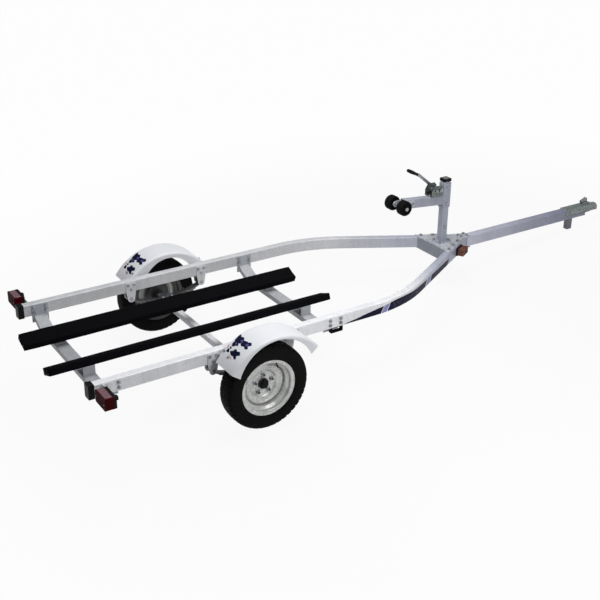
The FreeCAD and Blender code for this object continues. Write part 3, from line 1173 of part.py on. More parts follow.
def park():
    """Tip the level trailer about its axle until the foot stands, then centre it over the origin."""
    reach = value("foot_x + foot_length/2")
    drop = value("foot_bottom_z - wheel_radius")
    tilt = math.asin(value("wheel_radius")/math.hypot(reach, drop)) + math.atan2(drop, reach)
    tip = FreeCAD.Rotation(Vector(0, 1, 0), math.degrees(tilt))
    axle_line = Vector(0, 0, value("wheel_radius"))
    parked = FreeCAD.Placement(axle_line - tip.multVec(axle_line), tip)
    box_all = FreeCAD.BoundBox()
    for piece in PIECES.values():
        shape = piece.Shape.copy()
        shape.Placement = parked.multiply(shape.Placement)
        box_all.add(shape.optimalBoundingBox(True, False))
    middle = Vector((box_all.XMin + box_all.XMax)/2, (box_all.YMin + box_all.YMax)/2, box_all.ZMin)
    parked.Base = parked.Base - middle
    print("parked tilt", round(math.degrees(tilt), 4), "shift", parked.Base, "box", box_all)
    return parked


def build():
    fill_sheet()
    for word, side in SIDES.items():
        rail("rail_" + word, side)
        spring(word, side)
        wheel(word, side)
        fender(word, side)
    spring_fittings()
    keep("rail_end_caps", group("rail_boots", rail_boot("rail_boot_left", LEFT), rail_boot("rail_boot_right", RIGHT)))
    neck()
    crossmember("crossmember_rear", "cross_rear_x")
    crossmember("crossmember_front", "cross_front_x")
    keep("crossmember_plates", group("end_plates", *end_plates("end_plate_rear", "cross_rear_x"),
                                     *end_plates("end_plate_front", "cross_front_x")))
    bunk()
    keep("bunk_brackets", group("bunk_bracket_set", *bunk_bracket("bunk_bracket_rear", "cross_rear_x"),
                                *bunk_bracket("bunk_bracket_front", "cross_front_x")))
    axle()
    tail_lamps()
    side_markers()
    strap_loops()
    winch_post()
    winch()
    coupler()
    DOC.recompute()


def check():
    for thing in DOC.Objects:
        if "Invalid" in thing.State or "Error" in thing.State:
            raise RuntimeError(thing.Name + " failed: " + str(thing.State))
    for name, piece in PIECES.items():
        if piece.Shape.isNull() or not piece.Shape.isValid() or not piece.Shape.Solids:
            raise RuntimeError(name + " has no sound solid")


def write(parked):
    os.makedirs("parts", exist_ok=True)
    for name, piece in PIECES.items():
        shape = piece.Shape.copy()
        shape.Placement = parked.multiply(shape.Placement)
        shape.exportStep(os.path.join("parts", name + ".step"))


build()
check()
write(park())
print(len(PIECES), "pieces")
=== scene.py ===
import json
import random
from math import atan2, cos, pi, radians, sin, tan

import bmesh
import bpy
from mathutils import Matrix, Vector, noise


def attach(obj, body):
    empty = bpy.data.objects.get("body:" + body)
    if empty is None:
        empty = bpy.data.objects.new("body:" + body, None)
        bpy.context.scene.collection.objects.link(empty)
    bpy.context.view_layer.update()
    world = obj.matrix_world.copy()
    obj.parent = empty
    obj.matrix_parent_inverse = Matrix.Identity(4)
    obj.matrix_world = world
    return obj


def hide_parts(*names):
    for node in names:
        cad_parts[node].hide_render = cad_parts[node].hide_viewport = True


# The looks of a parked boat trailer around its CAD frame.
# Places are given in the level trailer's own millimetres (X forward from the axle, Y left,
# Z up from the ground) and PARK carries them into the row frame, where the nose is down.

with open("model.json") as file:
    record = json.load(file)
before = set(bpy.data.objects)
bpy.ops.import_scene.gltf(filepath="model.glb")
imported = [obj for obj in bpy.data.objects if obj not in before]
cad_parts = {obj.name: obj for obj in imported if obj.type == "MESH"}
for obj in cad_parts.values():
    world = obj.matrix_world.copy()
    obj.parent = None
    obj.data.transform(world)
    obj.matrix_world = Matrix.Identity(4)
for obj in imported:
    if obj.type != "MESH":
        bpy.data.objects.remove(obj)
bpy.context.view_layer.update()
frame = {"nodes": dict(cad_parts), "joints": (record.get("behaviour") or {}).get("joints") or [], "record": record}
JOINTS = {joint["name"]: joint for joint in frame["joints"]}
NODES = frame["nodes"]
MM = 0.001
LEFT = 1
RIGHT = -1
SIDES = {"left": LEFT, "right": RIGHT}

# Sizes shared with the construction
WHEEL_RADIUS = 260
HALF_TRACK = 705
RAIL_OUTER, RAIL_WIDTH, RAIL_HEIGHT, RAIL_Z = 573, 50, 76, 440
RAIL_Y = RAIL_OUTER - RAIL_WIDTH/2
RAIL_INNER = RAIL_OUTER - RAIL_WIDTH
RAIL_TOP = RAIL_Z + RAIL_HEIGHT/2
RAIL_BOTTOM = RAIL_Z - RAIL_HEIGHT/2
BEND_START, BEND_RADIUS, BEND_ANGLE = 865, 900, radians(29.25)
BUNK_Y, BUNK_Z, BUNK_TILT = 201, 415, radians(21.9)
BUNK_WIDTH, BUNK_THICKNESS, BUNK_REAR, BUNK_LENGTH = 108, 45, -1073, 1828
FENDER_X, FENDER_Z, FENDER_RADIUS = 45, 226, 352
LEAF_TOP = 298
CROSS_X = {"rear": -848, "front": 576}
CROSS_TOP = 352
EYE_OFFSET = 250
MEET_X = (BEND_START + BEND_RADIUS*sin(BEND_ANGLE)
          + (RAIL_Y - BEND_RADIUS*(1 - cos(BEND_ANGLE)))/tan(BEND_ANGLE))
NECK_X = MEET_X - 308
POST_X = NECK_X + 95
ARM_REAR = POST_X - 365
PLATE_TOP = RAIL_TOP + 6
WINCH_FRONT = POST_X - 48
WINCH_REAR = WINCH_FRONT - 96
ARM_SEAT, ARM_HEIGHT, ARM_SLOPE = 838, 64, radians(5.5)
SLEEVE_HALF = 30
TONGUE_FRONT = NECK_X + 1500
COUPLER_REAR = TONGUE_FRONT - 208
FOOT_X = TONGUE_FRONT - 145
LAMP_REAR, LAMP_INNER, LAMP_OUTER, LAMP_BOTTOM, LAMP_TOP = -965, 630, 760, 420, 492
MARKER_BACK = 190
OUTWARD = {LEFT: "+y", RIGHT: "-y"}
INWARD = {LEFT: "-y", RIGHT: "+y"}
ROLLER_X, ROLLER_Z = ARM_REAR - 36, 824
DRUM_X, CRANK_X, WINCH_Z = WINCH_REAR + 38.5, WINCH_REAR + 76, 880
COUPLER_TOP = 481


def parked_matrix():
    """From level millimetres to the row frame in metres."""
    wheel = Vector(JOINTS["wheel_left_spin"]["pos_m"])
    roller = Vector(JOINTS["bow_roller_left_spin"]["pos_m"])
    level = atan2(ROLLER_Z - WHEEL_RADIUS, ROLLER_X)
    tilt = level - atan2(roller.z - wheel.z, roller.x - wheel.x)
    tipped = Matrix.Rotation(tilt, 4, "Y") @ Matrix.Scale(MM, 4)
    centre = tipped @ Vector((0, 0, WHEEL_RADIUS))
    return Matrix.Translation((wheel.x - centre.x, 0, wheel.z - centre.z)) @ tipped


PARK = parked_matrix()


# Mesh tools

ON_AXIS = 0.01   # the radius of a ring that closes a turned solid


class Build:
    """Faces gathered in level millimetres and made into one piece."""

    def __init__(self):
        self.points = []
        self.faces = []

    def add(self, points, faces, place=Matrix.Identity(4)):
        start = len(self.points)
        self.points += [place @ Vector(point) for point in points]
        self.faces += [[start + index for index in face] for face in faces]
        return self

    def make(self, name, slot, smooth=30, body="frame", material=None):
        """The piece, parked, riding its body, in its slot's material or another that is named."""
        mesh = bpy.data.meshes.new(name)
        mesh.from_pydata([PARK @ point for point in self.points], [], self.faces)
        work = bmesh.new()
        work.from_mesh(mesh)
        bmesh.ops.recalc_face_normals(work, faces=work.faces)
        work.to_mesh(mesh)
        work.free()
        item = linked(name, mesh)
        finish(mesh, MATERIALS[material or slot], smooth)
        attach(item, body)
        return item


def linked(name, data):
    item = bpy.data.objects.new(name, data)
    bpy.context.scene.collection.objects.link(item)
    return item


def finish(mesh, material, smooth):
    """One material, and rounds smooth up to an angle in degrees."""
    mesh.materials.clear()
    mesh.materials.append(material)
    mesh.shade_smooth()
    mesh.set_sharp_from_angle(angle=radians(smooth))


def circle_points(degrees, radius):
    """Places on a circle at some angles."""
    return [(radius*cos(radians(angle)), radius*sin(radians(angle))) for angle in degrees]


def move(x=0, y=0, z=0):
    return Matrix.Translation((x, y, z))


def turn(degrees, axis):
    return Matrix.Rotation(radians(degrees), 4, axis)


AXIS_TURNS = {"+x": turn(90, "Y"), "-x": turn(-90, "Y"), "+y": turn(-90, "X"), "-y": turn(90, "X"),
              "+z": Matrix.Identity(4), "-z": turn(180, "X")}


def rings(loops, wrap=False):
    """Join point loops of one length into a skin, closed at its ends or round to its start."""
    count = len(loops[0])
    points = [point for loop in loops for point in loop]
    faces = []
    for row in range(len(loops) - (not wrap)):
        here, after = row*count, (row + 1) % len(loops)*count
        for index in range(count):
            following = (index + 1) % count
            faces.append([here + index, here + following, after + following, after + index])
    if not wrap:
        faces.append(list(range(count))[::-1])
        faces.append([(len(loops) - 1)*count + index for index in range(count)])
    return points, faces


def circle(radius, z, count):
    return [(x, y, z) for x, y in circle_points([360*index/count for index in range(count)], radius)]


def turned(profile, count):
    """A solid turned about Z from (radius, z) points, closed flat at an end that isn't on the axis."""
    if profile[0][0] > ON_AXIS:
        profile = [(ON_AXIS, profile[0][1])] + profile
    if profile[-1][0] > ON_AXIS:
        profile = profile + [(ON_AXIS, profile[-1][1])]
    return rings([circle(radius, z, count) for radius, z in profile])


def ring_turned(profile, count):
    """A hollow ring turned about Z from a closed (radius, z) outline."""
    return rings([circle(radius, z, count) for radius, z in profile], wrap=True)


def block(x, y, z, edge=1):
    """A box between two places on each axis, in either order, with chamfered edges."""
    (x0, x1), (y0, y1), (z0, z1) = (sorted(span) for span in (x, y, z))

    def loop(inset, level):
        left, right, near, far = x0 + inset, x1 - inset, y0 + inset, y1 - inset
        return [(left + edge, near, level), (right - edge, near, level), (right, near + edge, level),
                (right, far - edge, level), (right - edge, far, level), (left + edge, far, level),
                (left, far - edge, level), (left, near + edge, level)]
    return rings([loop(edge, z0), loop(0, z0 + edge), loop(0, z1 - edge), loop(edge, z1)])


def bolt_head(build, matrix, across, height, washer, thread=0):
    """A hexagon head on a washer, standing along its matrix's +Z, with a bolt's end through it or without."""
    corner = across/2/cos(pi/6)
    build.add(*turned([(washer, 0), (washer, 1.6), (washer*0.93, 2)], 24), matrix)
    build.add(*rings([circle(corner, 2, 6), circle(corner, height*0.8 + 2, 6), circle(corner*0.87, height + 2, 6)]),
              matrix)
    if thread:
        build.add(*turned([(across*0.27, height), (across*0.27, height + 1 + thread),
                           (across*0.22, height + 2 + thread)], 16), matrix)


def add_bolt(build, place, facing, across, height, washer, thread=0, spin=0):
    bolt_head(build, move(*place) @ AXIS_TURNS[facing] @ turn(spin, "Z"), across, height, washer, thread)


def weld(build, path, radius, pitch, seed):
    """A rippled weld bead along a path of points."""
    dice = random.Random(seed)
    spots = resample(path, pitch/3)
    loops = []
    for index, (spot, ahead) in enumerate(spots):
        swell = radius*(0.86 + 0.2*abs(sin(pi*index/3)) + dice.uniform(-0.05, 0.05))
        if index in (0, len(spots) - 1):
            swell *= 0.35
        side = ahead.orthogonal().normalized()
        lift = ahead.cross(side)
        loop = [spot + side*swell*cos(2*pi*k/8) + lift*swell*sin(2*pi*k/8) for k in range(8)]
        loops.append(lined_up(loops[-1], loop) if loops else loop)
    build.add(*rings(loops))


def lined_up(before, loop):
    """The loop turned to start nearest the one before it, so that the skin doesn't twist."""
    best = min(range(len(loop)), key=lambda start: (loop[start] - before[0]).length)
    return loop[best:] + loop[:best]


def resample(path, step):
    """Points a step apart along a path, each with the way ahead."""
    path = [Vector(point) for point in path]
    found = []
    for start, end in zip(path, path[1:]):
        length = (end - start).length
        count = max(1, round(length/step))
        ahead = (end - start).normalized()
        for index in range(count):
            found.append((start.lerp(end, index/count), ahead))
    found.append((path[-1], (path[-1] - path[-2]).normalized()))
    return found


# Materials

class Nodes:
    """A node tree with a short way to add and join nodes."""

    def __init__(self, tree):
        self.tree = tree

    def put(self, given, socket):
        """A constant for a socket, or another socket to join, or None to leave it."""
        if isinstance(given, bpy.types.NodeSocket):
            self.tree.links.new(given, socket)
        elif given is not None:
            socket.default_value = given

    def fill(self, node, **inputs):
        """Inputs given by their names, with _ for a blank."""
        for name, given in inputs.items():
            self.put(given, node.inputs[name.replace("_", " ")])
        return node

    def add(self, kind, *inputs, **settings):
        """A node with its first inputs given in their order."""
        node = self.tree.nodes.new("ShaderNode" + kind)
        for key, setting in settings.items():
            setattr(node, key, setting)
        for given, socket in zip(inputs, node.inputs):
            self.put(given, socket)
        return node

    def ramp(self, factor, *stops):
        node = self.add("ValToRGB", factor)
        for element, (position, colour) in zip(node.color_ramp.elements, stops):
            element.position = position
            element.color = (*colour, 1)
        return node.outputs["Color"]

    def level(self, factor, low, high, start=0, end=1):
        """From low to high while the factor goes from start to end."""
        return self.add("MapRange", factor, start, end, low, high).outputs[0]

    def maths(self, how, first, second=None):
        return self.add("Math", first, second, operation=how).outputs[0]


class Shader(Nodes):
    """A principled material's nodes."""

    def __init__(self, name, **constants):
        self.material = bpy.data.materials.new(name)
        self.material.use_nodes = True
        super().__init__(self.material.node_tree)
        self.surface = self.fill(self.tree.nodes["Principled BSDF"], **constants)

    def join(self, **sockets):
        self.fill(self.surface, **sockets)
        return self.material

    def place(self):
        return self.add("TexCoord").outputs["Object"]

    def ahead(self, start, end):
        """0 behind one place along the trailer and 1 ahead of another, in the row frame's metres."""
        return self.level(self.add("SeparateXYZ", self.place()).outputs[0], 0, 1, start, end)

    def noise(self, scale, detail=4, roughness=0.55, stretch=None):
        vector = self.place()
        if stretch:
            vector = self.fill(self.add("Mapping", vector), Scale=stretch).outputs[0]
        node = self.fill(self.add("TexNoise", vector), Scale=scale, Detail=detail, Roughness=roughness)
        return node.outputs["Fac"]

    def clouds(self, scale, detail, low, high, start=0.3, end=0.7, roughness=0.55, stretch=None):
        """Noise made into patches between two values."""
        return self.level(self.noise(scale, detail, roughness, stretch), low, high, start, end)

    def cells(self, scale, output="Color"):
        return self.fill(self.add("TexVoronoi", self.place()), Scale=scale).outputs[output]

    def ribs(self, scale):
        node = self.add("TexWave", self.place(), wave_type="BANDS", bands_direction="Y")
        return self.fill(node, Scale=scale).outputs["Fac"]

    def grey(self, value):
        return self.add("CombineColor", value, value, value).outputs[0]

    def mix(self, factor, first, second, how="MIX"):
        """Two colours, each a socket or three numbers."""
        node = self.add("Mix", factor, data_type="RGBA", blend_type=how)
        for given, socket in ((first, node.inputs[6]), (second, node.inputs[7])):
            self.put(given if isinstance(given, bpy.types.NodeSocket) else (*given, 1), socket)
        return node.outputs[2]

    def bump(self, height, strength, distance, edge=None):
        """Relief, over edges rounded by a radius in metres."""
        rounded = self.fill(self.add("Bevel", samples=4), Radius=edge).outputs[0] if edge else None
        node = self.fill(self.add("Bump"), Strength=strength, Distance=distance, Height=height, Normal=rounded)
        return node.outputs[0]


def galvanised(name, bright=0.80, tint=(0.98, 0.985, 1), spangle=150, metal=0.10, edge=0.0015,
               depth=0.06, painted_shade_ahead=(0.66, 0.68, 0.77), reach=(0.05, 0.50)):
    """Hot-dip zinc: faint crystals, cloudy patches, runs and a little grey bloom, with painted shade that makes it
    darker and bluer ahead.
    """
    shader = Shader(name, Metallic=metal)
    low, high, pale = ([bright*share*channel for channel in tint] for share in (1 - depth, 1 + depth, 0.74))
    crystals = shader.ramp(shader.cells(spangle), (0.15, low), (0.85, high))
    clouds = shader.clouds(5, 5, 0.90, 1.04)
    runs = shader.clouds(14, 3, 0.94, 1.03, 0.35, 0.65, stretch=(2, 2, 0.35))
    colour = shader.mix(1, crystals, shader.grey(shader.maths("MULTIPLY", clouds, runs)), "MULTIPLY")
    colour = shader.mix(shader.clouds(22, 6, 0, 0.30, 0.62, 0.78, 0.7), colour, pale)
    # painted shade: the colour is multiplied down towards the front of the trailer, where less light falls
    colour = shader.mix(shader.ahead(*reach), colour, shader.mix(1, colour, painted_shade_ahead, "MULTIPLY"))
    height = shader.maths("ADD", shader.noise(240, 3), shader.maths("MULTIPLY", shader.noise(18, 3), 2))
    return shader.join(Base_Color=colour, Roughness=shader.clouds(60, 4, 0.36, 0.55),
                       Normal=shader.bump(height, 0.18, 0.0006, edge))


def patchy(name, fresh, worn, patches, rough, relief, edge=None, **constants):
    """A colour that goes over to another in patches.

    The noise of each of the next three is given by its scale and detail, then patches and rough have the
    values they lie between, for the second colour's share and the roughness, and relief its strength and depth.
    """
    shader = Shader(name, **constants)
    colour = shader.mix(shader.clouds(*patches), fresh, worn)
    scale, detail, strength, distance = relief
    normal = shader.bump(shader.noise(scale, detail), strength, distance, edge)
    return shader.join(Base_Color=colour, Roughness=shader.clouds(*rough), Normal=normal)


def plated(name, dark, pale):
    """Zinc-plated fixings."""
    return patchy(name, dark, pale, (90, 5, 0, 1), (200, 3, 0.3, 0.5), (500, 2, 0.15, 0.0003), 0.0006,
                  Metallic=0.7)


def rubber(name, grey):
    """Dull black rubber with dust in patches."""
    return patchy(name, (grey, grey, grey*1.04), (grey*3.6, grey*3.5, grey*3.3), (18, 7, 0, 0.20, 0.5, 0.85, 0.7),
                  (60, 4, 0.55, 0.8), (650, 3, 0.25, 0.0004), IOR=1.5, Specular_IOR_Level=0.06)


def carpet():
    """Black marine carpet: short loops and lint, without a sheen."""
    shader = Shader("black_carpet", Roughness=0.95, Specular_IOR_Level=0.02)
    loops = shader.cells(420, "Distance")
    tufts = shader.noise(700, 5, 0.7)
    colour = shader.mix(shader.level(tufts, 0, 1, 0.35, 0.7), (0.0025, 0.0025, 0.0035), (0.010, 0.010, 0.012))
    colour = shader.mix(shader.clouds(55, 8, 0, 0.35, 0.55, 0.8, 0.75), colour, (0.016, 0.016, 0.016))
    height = shader.maths("ADD", shader.maths("MULTIPLY", loops, 1.4), tufts)
    return shader.join(Base_Color=colour, Normal=shader.bump(height, 0.9, 0.0016))


def lamp_plastic(name, deep, pale, haze, ribs, relief, **constants):
    """Moulded lamp plastic, cloudy and finely ribbed."""
    shader = Shader(name, IOR=1.49, **constants)
    colour = shader.mix(shader.clouds(*haze), deep, pale)
    return shader.join(Base_Color=colour, Normal=shader.bump(shader.ribs(ribs), *relief))


LENS = dict(haze=(30, 3, 0, 0.8, 0.3, 0.8), ribs=55, relief=(0.25, 0.0008), Roughness=0.2,
            Transmission_Weight=0.05, Specular_IOR_Level=0.01)


def decal(name, colour, worn_to):
    """A printed band, rubbed through in small chips that are denser ahead."""
    shader = Shader(name, IOR=1.45, Specular_IOR_Level=0.12)
    chips = shader.clouds(55, 4, 0, 1, 0.60, 0.66, 0.7)
    wear = shader.maths("MULTIPLY", chips, shader.ahead(-0.30, 0.35))
    return shader.join(Base_Color=shader.mix(wear, colour, worn_to), Roughness=shader.clouds(50, 3, 0.4, 0.55))


def rim_finish():
    """Galvanised wheel, with painted shade on its inner side."""
    shader = Shader("rim_zinc", Metallic=0.25)
    crystals = shader.ramp(shader.cells(80), (0.2, (0.60, 0.61, 0.58)), (0.8, (0.78, 0.79, 0.76)))
    colour = shader.mix(1, crystals, shader.grey(shader.clouds(16, 5, 0.82, 1.06)), "MULTIPLY")
    place = shader.add("SeparateXYZ", shader.place()).outputs[1]
    facing = shader.add("SeparateXYZ", shader.add("TexCoord").outputs["Normal"]).outputs[1]
    # painted shade: the inner half of the wheel and the faces turned inward go near black
    outer_half = shader.level(shader.maths("ABSOLUTE", place), 0, 1, 0.696, 0.712)
    outer_face = shader.level(shader.maths("MULTIPLY", place, facing), 0, 1, 0.08, 0.25)
    colour = shader.mix(shader.maths("ADD", outer_half, outer_face), (0.05, 0.048, 0.045), colour)
    return shader.join(Base_Color=colour, Roughness=shader.clouds(90, 4, 0.28, 0.45),
                       Normal=shader.bump(shader.noise(160, 3), 0.2, 0.0006, 0.001))


def bare_wood():
    """Weathered board under the carpet's seam, its grain along the trailer."""
    shader = Shader("bunk_timber", Roughness=0.8)
    grain = shader.noise(40, 8, 0.7, stretch=(0.12, 1.6, 1.6))
    colour = shader.ramp(grain, (0.3, (0.16, 0.11, 0.07)), (0.7, (0.34, 0.26, 0.18)))
    return shader.join(Base_Color=colour, Normal=shader.bump(grain, 0.4, 0.0008))


# by slot, then the looks that a piece or node takes instead of its slot's
MATERIALS = {
    "galvanised": galvanised("galvanised"),
    "coupler_steel": galvanised("coupler_steel", 0.52, (0.93, 1, 0.95), 110, 0.25, 0.001, 0.15, (0.70, 0.74, 0.74)),
    "zinc_hardware": plated("zinc_hardware", (0.26, 0.275, 0.30), (0.46, 0.475, 0.51)),
    "spring_steel": patchy(
        "spring_steel", (0.13, 0.13, 0.135), (0.34, 0.33, 0.31), (30, 6, 0, 1, 0.45, 0.75, 0.7),
        (120, 3, 0.45, 0.7), (150, 5, 0.3, 0.0006), 0.001, Metallic=0.4),
    "bare_bright_steel": patchy(
        "bright_steel", (0.45, 0.45, 0.45), (0.72, 0.72, 0.72), (70, 5, 0, 1), (300, 3, 0.25, 0.42),
        (420, 2, 0.1, 0.0003), 0.0008, Metallic=0.75),
    "rim_steel": rim_finish(),
    "tyre_rubber": rubber("tyre_rubber", 0.005),
    "black_rubber": rubber("black_rubber", 0.006),
    "fender_plastic": patchy(
        "fender_white", (0.79, 0.80, 0.82), (0.62, 0.61, 0.58), (9, 5, 0, 0.10, 0.5, 0.8, 0.6),
        (40, 4, 0.34, 0.48), (160, 2, 0.06, 0.0006), IOR=1.46, Specular_IOR_Level=0.3),
    "black_plastic": patchy(
        "black_plastic", (0.008, 0.008, 0.0084), (0.032, 0.032, 0.032), (25, 6, 0, 0.20, 0.5, 0.8, 0.65),
        (80, 4, 0.38, 0.55), (900, 2, 0.2, 0.0002), IOR=1.46, Specular_IOR_Level=0.1),
    "black_paint": patchy(
        "black_paint", (0.022, 0.022, 0.024), (0.10, 0.095, 0.09), (35, 6, 0, 0.7, 0.5, 0.8, 0.7),
        (70, 4, 0.35, 0.6), (260, 3, 0.25, 0.0004), 0.0008, IOR=1.5),
    "red_lens": lamp_plastic("red_lens", (0.055, 0.0012, 0.004), (0.105, 0.003, 0.008), **LENS),
    "amber_lens": lamp_plastic("amber_lens", (0.14, 0.055, 0.040), (0.25, 0.125, 0.095), **LENS),
    "black_carpet": carpet(),
    "weld_zinc": galvanised("weld_zinc", 0.70, (0.98, 0.98, 1), 300, 0.15, None),
    "winch_zinc": plated("winch_zinc", (0.075, 0.095, 0.085), (0.27, 0.31, 0.29)),
    "cap_grey": patchy(
        "cap_grey", (0.13, 0.13, 0.14), (0.21, 0.21, 0.215), (30, 5, 0, 1, 0.3, 0.75),
        (80, 4, 0.4, 0.6), (500, 4, 0.2, 0.0003), IOR=1.46),
    "clear_window": lamp_plastic(
        "clear_window", (0.19, 0.09, 0.10), (0.28, 0.17, 0.19), (60, 4, 0, 1, 0.3, 0.75), 70,
        (0.2, 0.0006), Roughness=0.16, Transmission_Weight=0.12, Coat_Weight=0.5),
    "bunk_timber": bare_wood(),
    "navy_decal": decal("navy_decal", (0.004, 0.004, 0.026), (0.38, 0.39, 0.48)),
    "lilac_decal": decal("lilac_decal", (0.30, 0.30, 0.55), (0.55, 0.56, 0.72)),
    "violet_decal": decal("violet_decal", (0.085, 0.075, 0.26), (0.3, 0.3, 0.5)),
    "rose_decal": decal("rose_decal", (0.62, 0.40, 0.45), (0.80, 0.70, 0.74)),
}


# Places on the trailer

def rail_place(side, along, out, z):
    """A point by a side rail: along its centreline from the bend's start, out from it, at a height."""
    angle = min(max(along/BEND_RADIUS, 0), BEND_ANGLE)
    rest = along if along < 0 else max(along - BEND_RADIUS*BEND_ANGLE, 0)
    cosine, sine = cos(angle), sin(angle)
    x = BEND_START + BEND_RADIUS*sine + rest*cosine + out*sine
    y = RAIL_Y - BEND_RADIUS*(1 - cosine) - rest*sine + out*cosine
    return Vector((x, side*y, z))


def wheel_place(side):
    """Carries a shape turned about Z to a wheel, with +Z outward."""
    return move(0, side*HALF_TRACK, WHEEL_RADIUS) @ AXIS_TURNS[OUTWARD[side]]


def bunk_tip(side):
    return Matrix.Rotation(side*BUNK_TILT, 4, "X")


def bunk_place(side, across, up, x):
    """A point of a bunk's cross-section, measured in the tilted board from its centre."""
    y = BUNK_Y + across*cos(BUNK_TILT) - up*sin(BUNK_TILT)
    return Vector((x, side*y, BUNK_Z + across*sin(BUNK_TILT) + up*cos(BUNK_TILT)))


def fender_place(side, angle, y, radius):
    """A point over a fender, by its angle up from the front and its place across."""
    turned_by = radians(angle)
    return Vector((FENDER_X + radius*cos(turned_by), side*y, FENDER_Z + radius*sin(turned_by)))


def arm_top(x):
    """The height of the bow arm's sloped top, which meets the winch's seat at its rear."""
    return ARM_SEAT - (x - WINCH_REAR)*tan(ARM_SLOPE)


def softened(points, reach):
    """A closed outline with each corner cut back to a small curve."""
    points = [Vector(point) for point in points]
    found = []
    for index, corner in enumerate(points):
        ways = [other - corner for other in (points[index - 1], points[(index + 1) % len(points)])]
        start, end = (corner + way.normalized()*min(reach, way.length*0.35) for way in ways)
        found += [tuple(start), tuple((start + 2*corner + end)/4), tuple(end)]
    return found


# nodes with a finish of their own: copies of the zinc that differ in brightness, tint and how much painted shade
# they get ahead; their brightness and tint are painted light and shade on each part, while the winch keeps its own
# darker plating
FINISHES_AND_SHADES = {
    "neck_plates": galvanised("mottled_zinc", 0.66, (0.97, 0.99, 1), 60, depth=0.18, painted_shade_ahead=(0.95, 0.96, 1)),
    "neck_beam": galvanised("shaded_zinc", 0.50, (0.93, 0.98, 1)),
    "crossmember_rear": galvanised("rear_zinc", 0.47, (0.93, 0.96, 1)),
    "crossmember_front": galvanised("front_zinc", 0.52, (0.94, 0.96, 1)),
    "crossmember_plates": galvanised("plate_zinc", 0.55, (0.88, 0.93, 1)),
    "bunk_brackets": galvanised("bracket_zinc", 0.50, (0.92, 0.95, 1)),
    "winch_post": galvanised("post_zinc", 0.72, (0.95, 0.98, 1)),
    "rail_right": galvanised("near_rail_zinc", 0.93, painted_shade_ahead=(0.53, 0.55, 0.64), reach=(-0.05, 0.42)),
    "rail_left": galvanised("far_rail_zinc", 0.70, painted_shade_ahead=(0.80, 0.82, 0.93)),
    "tongue_tube": galvanised("tongue_zinc", 0.78, (0.93, 0.94, 1.07), painted_shade_ahead=(0.52, 0.53, 0.60), reach=(0.85, 1.80)),
    "bow_arm": galvanised("arm_zinc", 0.64, (0.96, 0.98, 1)),
    "tongue_foot": galvanised("foot_zinc", 0.32, (1, 0.96, 0.96)),
    "winch_frame": MATERIALS["winch_zinc"],
    "winch_drum": MATERIALS["winch_zinc"],
    "winch_pawl": MATERIALS["winch_zinc"],
}


def dress_nodes():
    """Each carried-over node takes its slot's material or its own finish with painted light and shade, and smooth
    rounds.
    """
    slots = {entry["node"]: entry["material_slot"] for entry in frame["record"]["subparts"]}
    for name, item in NODES.items():
        finish(item.data, FINISHES_AND_SHADES.get(name) or MATERIALS[slots[name]], 28)


# Wheels

TREAD_PITCHES = 42
ZIGZAG = 2.4
# along one pitch: the share of it gone by, and 0 where the shoulder is notched
TREAD_STEPS = ((0, 1), (0.25, 1), (0.5, 1), (0.75, 1), (0.79, 0), (0.96, 0))


def zigzag(phase):
    """A wave of straight lines between -1 and 1."""
    return 4*abs((phase + 0.75) % 1 - 0.5) - 1


def tyre_half():
    """Half the tyre's skin from the crown to the bead: radius, width, zigzag share, notch depth."""
    tread = [(260, 3, 0, 0), (259.9, 9, 1, 0), (254, 9.9, 1, 0), (254, 12.3, 1, 0), (259.8, 13.2, 1, 0),
             (259.3, 21.5, 0, 0), (258.9, 29.4, -1, 0), (253, 30.3, -1, 0), (253, 33.3, -1, 0),
             (258.5, 34.2, -1, 0), (257.8, 41, 0, 0.6), (256.6, 46, 0, 4.5), (254.2, 51.5, 0, 5),
             (249.5, 56.2, 0, 5), (243.5, 59.3, 0, 3)]
    wall = [(238, 60.4), (233, 60.8), (232.2, 60), (226, 60.2), (225.2, 61), (214, 61), (205, 60.9),
            (198, 60.3), (197.2, 59.3), (190, 58.6), (189.2, 59.3), (186, 58.8), (180, 56.4), (175.5, 53.2),
            (172.5, 50.6), (169, 49.3), (163, 47.6), (156.5, 45.2), (152.6, 43), (152.6, 38),
            (175, 43.5), (200, 48.5), (225, 50), (243, 42), (248.5, 20)]
    return tread + [(radius, width, 0, 0) for radius, width in wall]


def make_tyre(word, side):
    """A ribbed tyre with zigzag grooves, notched shoulders and ringed walls, closed inside."""
    half = tyre_half()
    outline = half + [(radius, -width, -wave, notch) for radius, width, wave, notch in reversed(half)]
    loops = []
    for pitch in range(TREAD_PITCHES):
        for share, full in TREAD_STEPS:
            angle = 2*pi*(pitch + share)/TREAD_PITCHES
            loop = []
            for radius, width, wave, notch in outline:
                deep = radius - (0 if full else notch)
                loop.append((deep*cos(angle), deep*sin(angle), width + ZIGZAG*wave*zigzag(share)))
            loops.append(loop)
    build = Build().add(*rings(loops, wrap=True), wheel_place(side))
    item = build.make("tread_tyre_" + word, "tyre_rubber", body="wheel_" + word)
    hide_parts("tyre_" + word)


